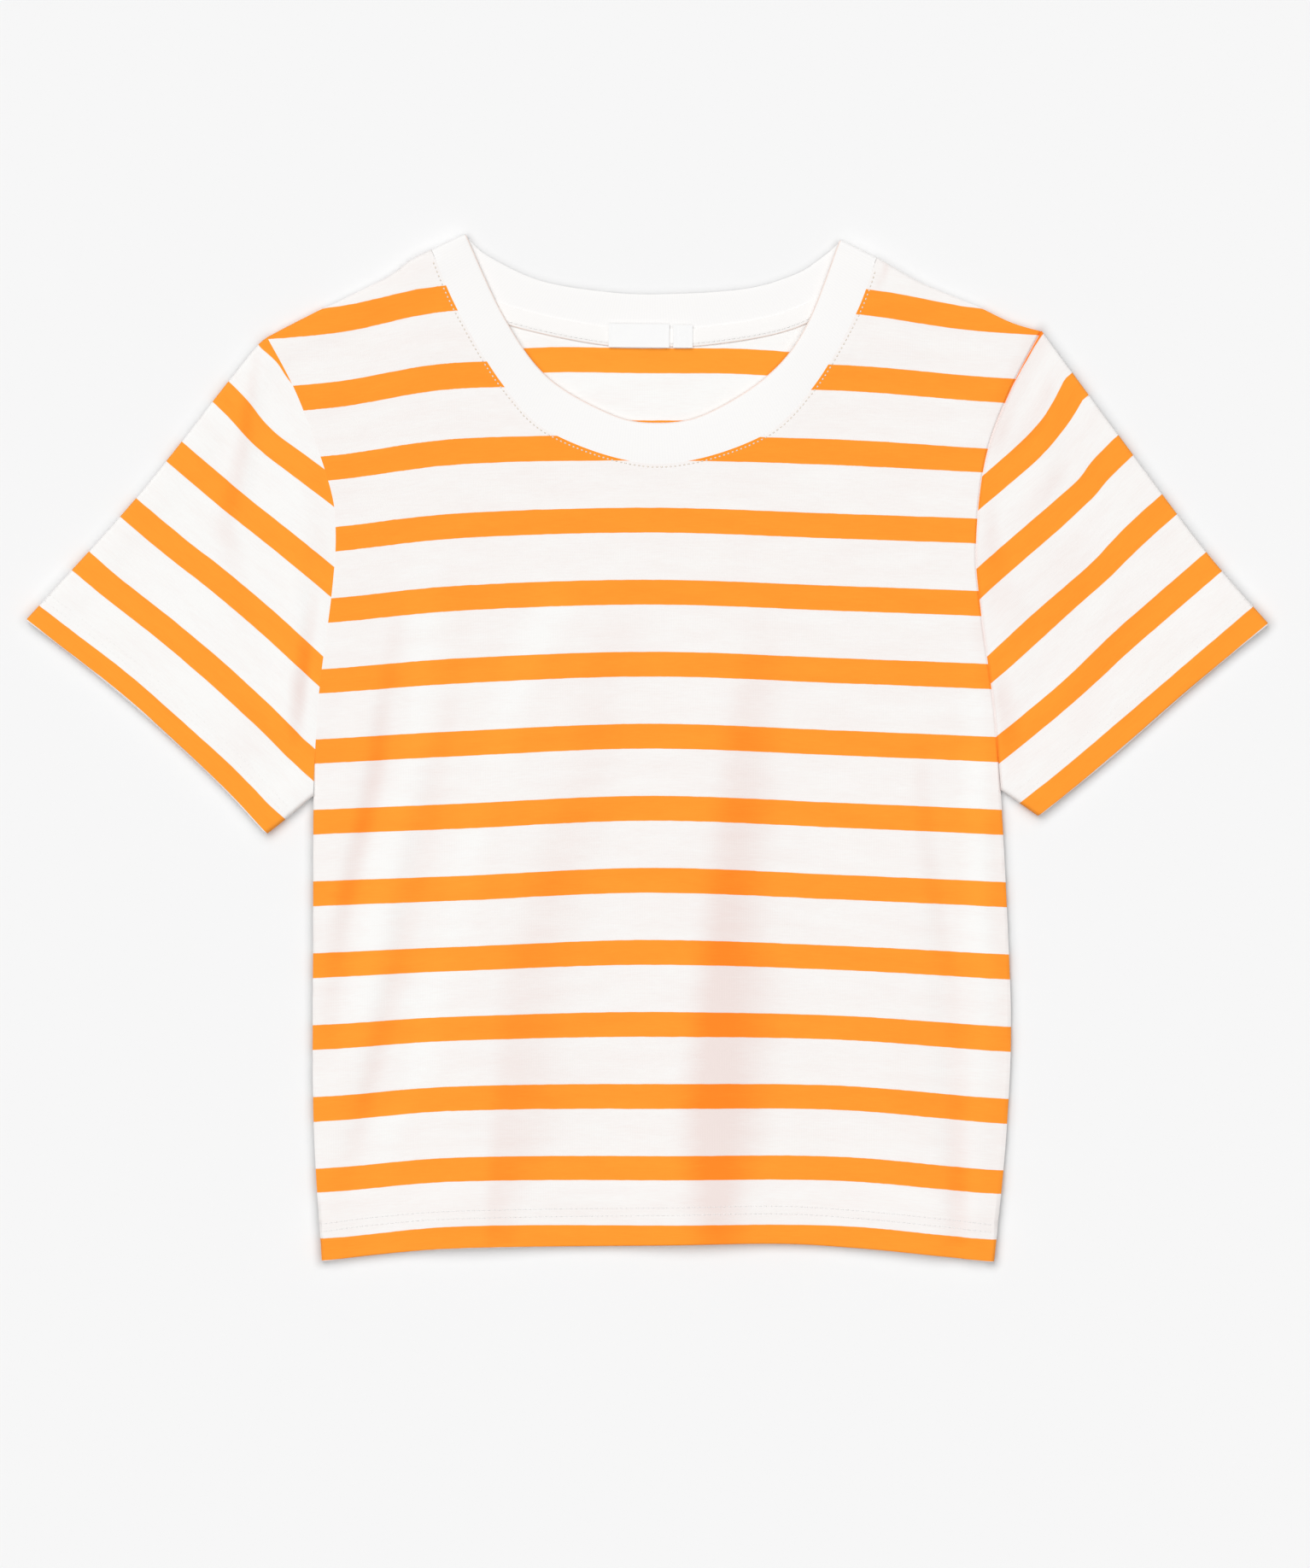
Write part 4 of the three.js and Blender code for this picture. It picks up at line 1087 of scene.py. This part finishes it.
# Rib: fine ridges across the band.
RIB_LOOP = 0.0011
rib, place, rib_width, end = weave_group("rib_knit", "Rib Width", 0.0014, ["Height", "Ridge"])
along, across, _ = split_vector(rib, place)
ridge = ridges(rib, math_node(rib, "DIVIDE", along, rib_width))
loops = math_node(rib, "SINE", math_node(rib, "MULTIPLY", across, 2 * math.pi / RIB_LOOP))
rib.links.new(math_node(rib, "ADD", ridge, math_node(rib, "MULTIPLY", loops, 0.12)), end.inputs["Height"])
rib.links.new(ridge, end.inputs["Ridge"])

# The rib's colour in its grooves, a little darker as painted shade, on its ridges, and in the painted shade
# along its fold.
RIB_DEEP = (0.898, 0.887, 0.877, 1)
RIB_RAISED = (0.915, 0.904, 0.894, 1)
RIB_IN_FOLD_SHADE = (0.87, 0.72, 0.65, 1)
rib_white, tree, shader, place = cloth_material("white_rib", 0.92, 0.03)
surface = use_group(tree, rib, place)
# Painted shade: the rib's grooves a little darker, and the face-up part warmer and darker at its fold.
tone = colour_mix(tree, surface.outputs["Ridge"], RIB_DEEP, RIB_RAISED)
tone = colour_mix(tree, split_vector(tree, place)[2], tone, RIB_IN_FOLD_SHADE)
tree.links.new(tone, shader.inputs["Base Color"])
add_bump(tree, shader, surface.outputs["Height"], 0.08, 0.0001)
dress(band, rib_white, "neckband", "neck_rib", "back_panel", BAND_CUT, held="folded")


# The neck tape
# A narrow twill tape over the seam between the back and the neckband, stitched down along both edges.

TAPE = 0.0006
TAPE_TOP = 0.0024
TAPE_OVERLAP = 0.0006
TAPE_WIDTH = 0.0088
TAPE_STATED = 0.0104
TAPE_MARGIN = 0.011
TAPE_COLUMNS = 12

length = back_neck_sewn.length - 2 * TAPE_MARGIN
steps = round(length / 0.002)
mesh, cloth, places = cloth_grid(steps, TAPE_COLUMNS)
for vert, i, j in places:
    run = TAPE_MARGIN + length * j / steps
    share = i / TAPE_COLUMNS
    down = mix(-TAPE_OVERLAP, TAPE_WIDTH, share)
    p = back_neck_sewn.beside(run, down)
    edge = min(share, 1 - share) * TAPE_WIDTH
    thin_edge = 0.00018 * (1 - smooth(edge, 0.0002, 0.0012))
    stitched = 0.0001 * (1 - smooth(abs(edge - 0.0016), 0, 0.0006))
    hanging = 0.0004 * (1 - smooth(TAPE_WIDTH - down, 0, 0.0022))
    vert.co = (p.x, p.y, TAPE_TOP - thin_edge - stitched - hanging)
    vert[cloth] = (run, down, 0)
bmesh.ops.recalc_face_normals(mesh, faces=mesh.faces)
if next(iter(mesh.faces)).normal.z < 0:
    bmesh.ops.reverse_faces(mesh, faces=mesh.faces)
tape = finish_cloth("neck_tape_cloth", mesh, TAPE)

# Twill: fine diagonal lines.
twill, place, line_width, end = weave_group("twill_weave", "Line Width", 0.0009, ["Height"])
along, across, _ = split_vector(twill, place)
slope = math_node(twill, "ADD", along, math_node(twill, "MULTIPLY", across, 0.8))
lines = math_node(twill, "DIVIDE", slope, line_width)
twill.links.new(ridges(twill, lines), end.inputs["Height"])

# The tape's colour in the weave's grooves, a little darker as painted shade, on its raised lines, and in the
# painted shadow along its lower edge.
TAPE_DEEP = (0.905, 0.885, 0.868, 1)
TAPE_RAISED = (0.93, 0.915, 0.9, 1)
TAPE_EDGE_SHADOW = (0.85, 0.68, 0.6, 1)
tape_cloth, tree, shader, place = cloth_material("tape_twill", 0.9, 0.03)
surface = use_group(tree, twill, place)
# Painted shadow along the tape's lower edge, warmer and darker, and painted shade, a little darker, in the
# weave's grooves.
past_edge = math_node(tree, "SUBTRACT", split_vector(tree, place)[1], TAPE_WIDTH - 0.0005)
edge_shadow = clamped(tree, math_node(tree, "DIVIDE", past_edge, 0.0004))
tone = colour_mix(tree, surface.outputs["Height"], TAPE_DEEP, TAPE_RAISED)
tree.links.new(colour_mix(tree, edge_shadow, tone, TAPE_EDGE_SHADOW), shader.inputs["Base Color"])
add_bump(tree, shader, surface.outputs["Height"], 0.15, 0.0001)
dress(tape, tape_cloth, "neck_tape", "neck_tape", "back_panel", (length, TAPE_STATED))


# The two labels
# Small pieces of woven satin, turned under at their ends and stitched to the neck tape: the wide one in
# the middle, and the small one for the size at its right. Both are left bare.

LABEL_TOP = 0.00305
LABEL = 0.0005
LABEL_CELL = 0.0005
LABEL_ROWS = 24
# Each label's solid, middle, width, height and turn in degrees.
LABELS = [
    ("main_label", -0.0044, 0.217, 0.032, 0.0124, -0.6),
    ("size_label", 0.0188, 0.2166, 0.0102, 0.012, -0.5),
]
# The satin's colour in the weave's grooves, a little darker as painted shade, and on its raised lines.
SATIN_DEEP = (0.89, 0.888, 0.884, 1)
SATIN_RAISED = (0.915, 0.913, 0.909, 1)

satin, tree, shader, place = cloth_material("woven_satin", 0.5, 0.0)
surface = use_group(tree, twill, place)
surface.inputs["Line Width"].default_value = 0.0005
tone = colour_mix(tree, surface.outputs["Height"], SATIN_DEEP, SATIN_RAISED)
tree.links.new(tone, shader.inputs["Base Color"])
add_bump(tree, shader, surface.outputs["Height"], 0.2, 0.0001)

for node, x, y, width, height, turn in LABELS:
    columns = round(width / LABEL_CELL)
    mesh, cloth, places = cloth_grid(columns, LABEL_ROWS)
    for vert, i, j in places:
        across, up = (j / columns - 0.5) * width, (i / LABEL_ROWS - 0.5) * height
        end = width / 2 - abs(across)
        lift = 0.00005 * math.cos(across * 400) * math.cos(up * 250)
        fold = 0.0001 * (1 - smooth(abs(end - 0.0022), 0, 0.0008))
        vert.co = (across, up, LABEL_TOP + lift - fold)
        vert[cloth] = (across, up, 0)
    bmesh.ops.transform(
        mesh,
        matrix=Matrix.Translation((x, y, 0)) @ Matrix.Rotation(math.radians(turn), 4, "Z"),
        verts=mesh.verts,
    )
    label = finish_cloth(f"{node}_cloth", mesh, LABEL)
    dress(label, satin, node, "woven_label", "neck_tape_cloth", (width, height))


# The stitching
# Cotton thread: one row of small stitches beside the neckband, two rows round the hem and round each
# cuff, and two rows along the neck tape.

THREAD_RISE = 0.00009
# How far in from its edge each row of stitches runs.
NECK_ROW = 0.0017
HEM_STITCH_ROWS = (0.0158, 0.0198)
CUFF_STITCH_ROWS = (0.0142, 0.0182)
TAPE_STITCH_ROWS = (0.0018, 0.0072)


def stitch_row(mesh, points, length, pitch, width):
    """Small flattened stitches along a line of points in space, a pitch apart."""
    run, due = 0, 0
    for a, b in zip(points, points[1:]):
        step = (b - a).length
        while due <= run + step:
            middle = a.lerp(b, (due - run) / step)
            turn = (b - a).to_track_quat("X", "Z").to_matrix().to_4x4()
            size = Matrix.Diagonal((length / 2, width / 2, THREAD_RISE, 1))
            bmesh.ops.create_icosphere(
                mesh, subdivisions=1, radius=1, matrix=Matrix.Translation(middle) @ turn @ size
            )
            due += pitch
        run += step


def thread_material(name, dark, light):
    material, tree, shader, _ = cloth_material(name, 0.8, 0.05)
    coordinates = tree.nodes.new("ShaderNodeTexCoord")
    fibre = noise(tree, coordinates.outputs["Object"], (2500, 2500, 2500), 2)
    tree.links.new(colour_mix(tree, fibre, dark, light), shader.inputs["Base Color"])
    add_bump(tree, shader, fibre, 0.3, 0.0001)
    return material


cream_thread = thread_material("cream_thread", (0.9, 0.79, 0.68, 1), (0.94, 0.86, 0.77, 1))
white_thread = thread_material("white_thread", (0.9, 0.886, 0.87, 1), (0.94, 0.93, 0.915, 1))


def sew(name, thread, lines, length=0.0021, pitch=0.0027, width=0.0005):
    mesh = bmesh.new()
    for line in lines:
        stitch_row(mesh, line, length, pitch, width)
    piece = make_object(name, mesh)
    piece.data.materials.append(thread)
    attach(piece, "root")


def spaced(count, start=0, end=1):
    """Evenly spaced shares of a line."""
    return [mix(start, end, k / count) for k in range(count + 1)]


neck_line = []
for share in spaced(400):
    p = front_neck_sewn.beside(front_neck_sewn.length * share, NECK_ROW)
    neck_line.append(Vector((p.x, p.y, front_surface(p, 0))))
sew("neck_stitching", cream_thread, [neck_line[6:-6]], 0.0014, 0.0024, 0.0009)

hem_lines = []
for up in HEM_STITCH_ROWS:
    row = [hem_edge.at(hem_edge.length * share) + Vector((0, up)) for share in spaced(300, 0.006, 0.994)]
    hem_lines.append([Vector((p.x, p.y, front_surface(p, 1))) for p in row])
    hem_lines.append([Vector((p.x, p.y, back_height(p, 0))) for p in row])
sew("hem_stitching", white_thread, hem_lines)

for side, _, cuff, _, _, outwards in sleeves:
    cuff_lines = []
    for up in CUFF_STITCH_ROWS:
        row = [cuff.beside(cuff.length * share, outwards * up) for share in spaced(200, 0.012, 0.988)]
        cuff_lines.append([Vector((p.x, p.y, upper_height(p, 1) - 0.00005)) for p in row])
        cuff_lines.append([Vector((p.x, p.y, sleeve_underside(p))) for p in row])
    sew(f"{side}_cuff_stitching", white_thread, cuff_lines, width=0.00035)

tape_lines = []
for down in TAPE_STITCH_ROWS:
    row = [back_neck_sewn.beside(TAPE_MARGIN + length * share, down) for share in spaced(200)]
    tape_lines.append([Vector((p.x, p.y, TAPE_TOP - 0.0001)) for p in row])
sew("tape_stitching", white_thread, tape_lines)


# The table, light and camera
# A pale table top with painted contact shadow, soft light from nearly overhead, and the camera straight
# above.

# How much darker the table is right beside each edge of the cloth, and how far away the shade is gone.
EDGE_SHADE = [
    ([left_side], 0.31, 0.0054),
    ([right_side, right_sleeve_fold], 0.25, 0.0058),
    ([left_sleeve_fold, left_cuff, right_cuff], 0.13, 0.0058),
    ([back_neck_free], 0.17, 0.0032),
    ([left_underarm, right_underarm], 0.11, 0.007),
    ([left_shoulder, right_shoulder], 0.05, 0.0032),
    ([hem_edge], 0.03, 0.0058),
]
SHADE_REACH = 0.0075
SHADE_CELL = 0.0015
SHADED_AREA = (0.684, 0.576)

shade_edges = [(lookup(edges), depth, width) for edges, depth, width in EDGE_SHADE]
to_outline = lookup([edge for edges, *_ in EDGE_SHADE for edge in edges])
mesh = bmesh.new()
shade = mesh.verts.layers.float.new("shade")
columns, rows = (round(side / SHADE_CELL) for side in SHADED_AREA)
bmesh.ops.create_grid(mesh, x_segments=columns, y_segments=rows, size=0.5)
far = []
for vert in mesh.verts:
    vert.co = (vert.co.x * SHADED_AREA[0], vert.co.y * SHADED_AREA[1], 0.00002)
    if distance(to_outline, vert.co) > SHADE_REACH:
        far.append(vert)
        continue
    for tree, depth, width in shade_edges:
        beside = depth * max(0, 1 - distance(tree, vert.co) / width) ** 1.3
        vert[shade] = max(vert[shade], beside)
bmesh.ops.delete(mesh, geom=far, context="VERTS")
bmesh.ops.create_grid(mesh, x_segments=1, y_segments=1, size=3)
table_top = make_object("table_top", mesh)
# The table's colour darkens by the shade beside the cloth: a painted contact shadow.
paper = bpy.data.materials.new("pale_table")
paper.use_nodes = True
shader = paper.node_tree.nodes["Principled BSDF"]
shader.inputs["Roughness"].default_value = 0.9
shader.inputs["Specular IOR Level"].default_value = 0.1
beside = paper.node_tree.nodes.new("ShaderNodeAttribute")
beside.attribute_name = "shade"
paper.node_tree.links.new(
    colour_mix(paper.node_tree, beside.outputs["Fac"], (0.88, 0.88, 0.88, 1), (0, 0, 0, 1)),
    shader.inputs["Base Color"],
)
table_top.data.materials.append(paper)

# Each light's name, the way towards it, its spread in degrees and its strength.
LIGHTS = [
    ("window_light", (-0.3, 0.52, 1), 40, 1.067),
    ("ceiling_light", (0, 0, 1), 100, 1.795),
]
for name, towards, spread, energy in LIGHTS:
    light = bpy.data.lights.new(name, "SUN")
    light.angle = math.radians(spread)
    light.energy = energy
    lamp = bpy.data.objects.new(name, light)
    lamp.rotation_euler = Vector(towards).to_track_quat("Z", "Y").to_euler()
    bpy.context.scene.collection.objects.link(lamp)

world = bpy.data.worlds.new("soft_room")
world.use_nodes = True
world.node_tree.nodes["Background"].inputs["Color"].default_value = (1.0, 1.0, 1.0, 1)
world.node_tree.nodes["Background"].inputs["Strength"].default_value = 0.194
bpy.context.scene.world = world

CAMERA_HEIGHT = 3
CLOTH_HEIGHT = 0.004
FRAME_HEIGHT = 0.8262
FRAME_MIDDLE = (0.00405, -0.01935)
lens = bpy.data.cameras.new("overhead")
lens.sensor_fit = "VERTICAL"
lens.sensor_height = 36
lens.lens = 36 * (CAMERA_HEIGHT - CLOTH_HEIGHT) / FRAME_HEIGHT
lens.clip_end = 20
camera = bpy.data.objects.new("overhead", lens)
camera.location = (*FRAME_MIDDLE, CAMERA_HEIGHT)
bpy.context.scene.collection.objects.link(camera)
bpy.context.scene.camera = camera
bpy.context.scene.view_settings.view_transform = "Standard"
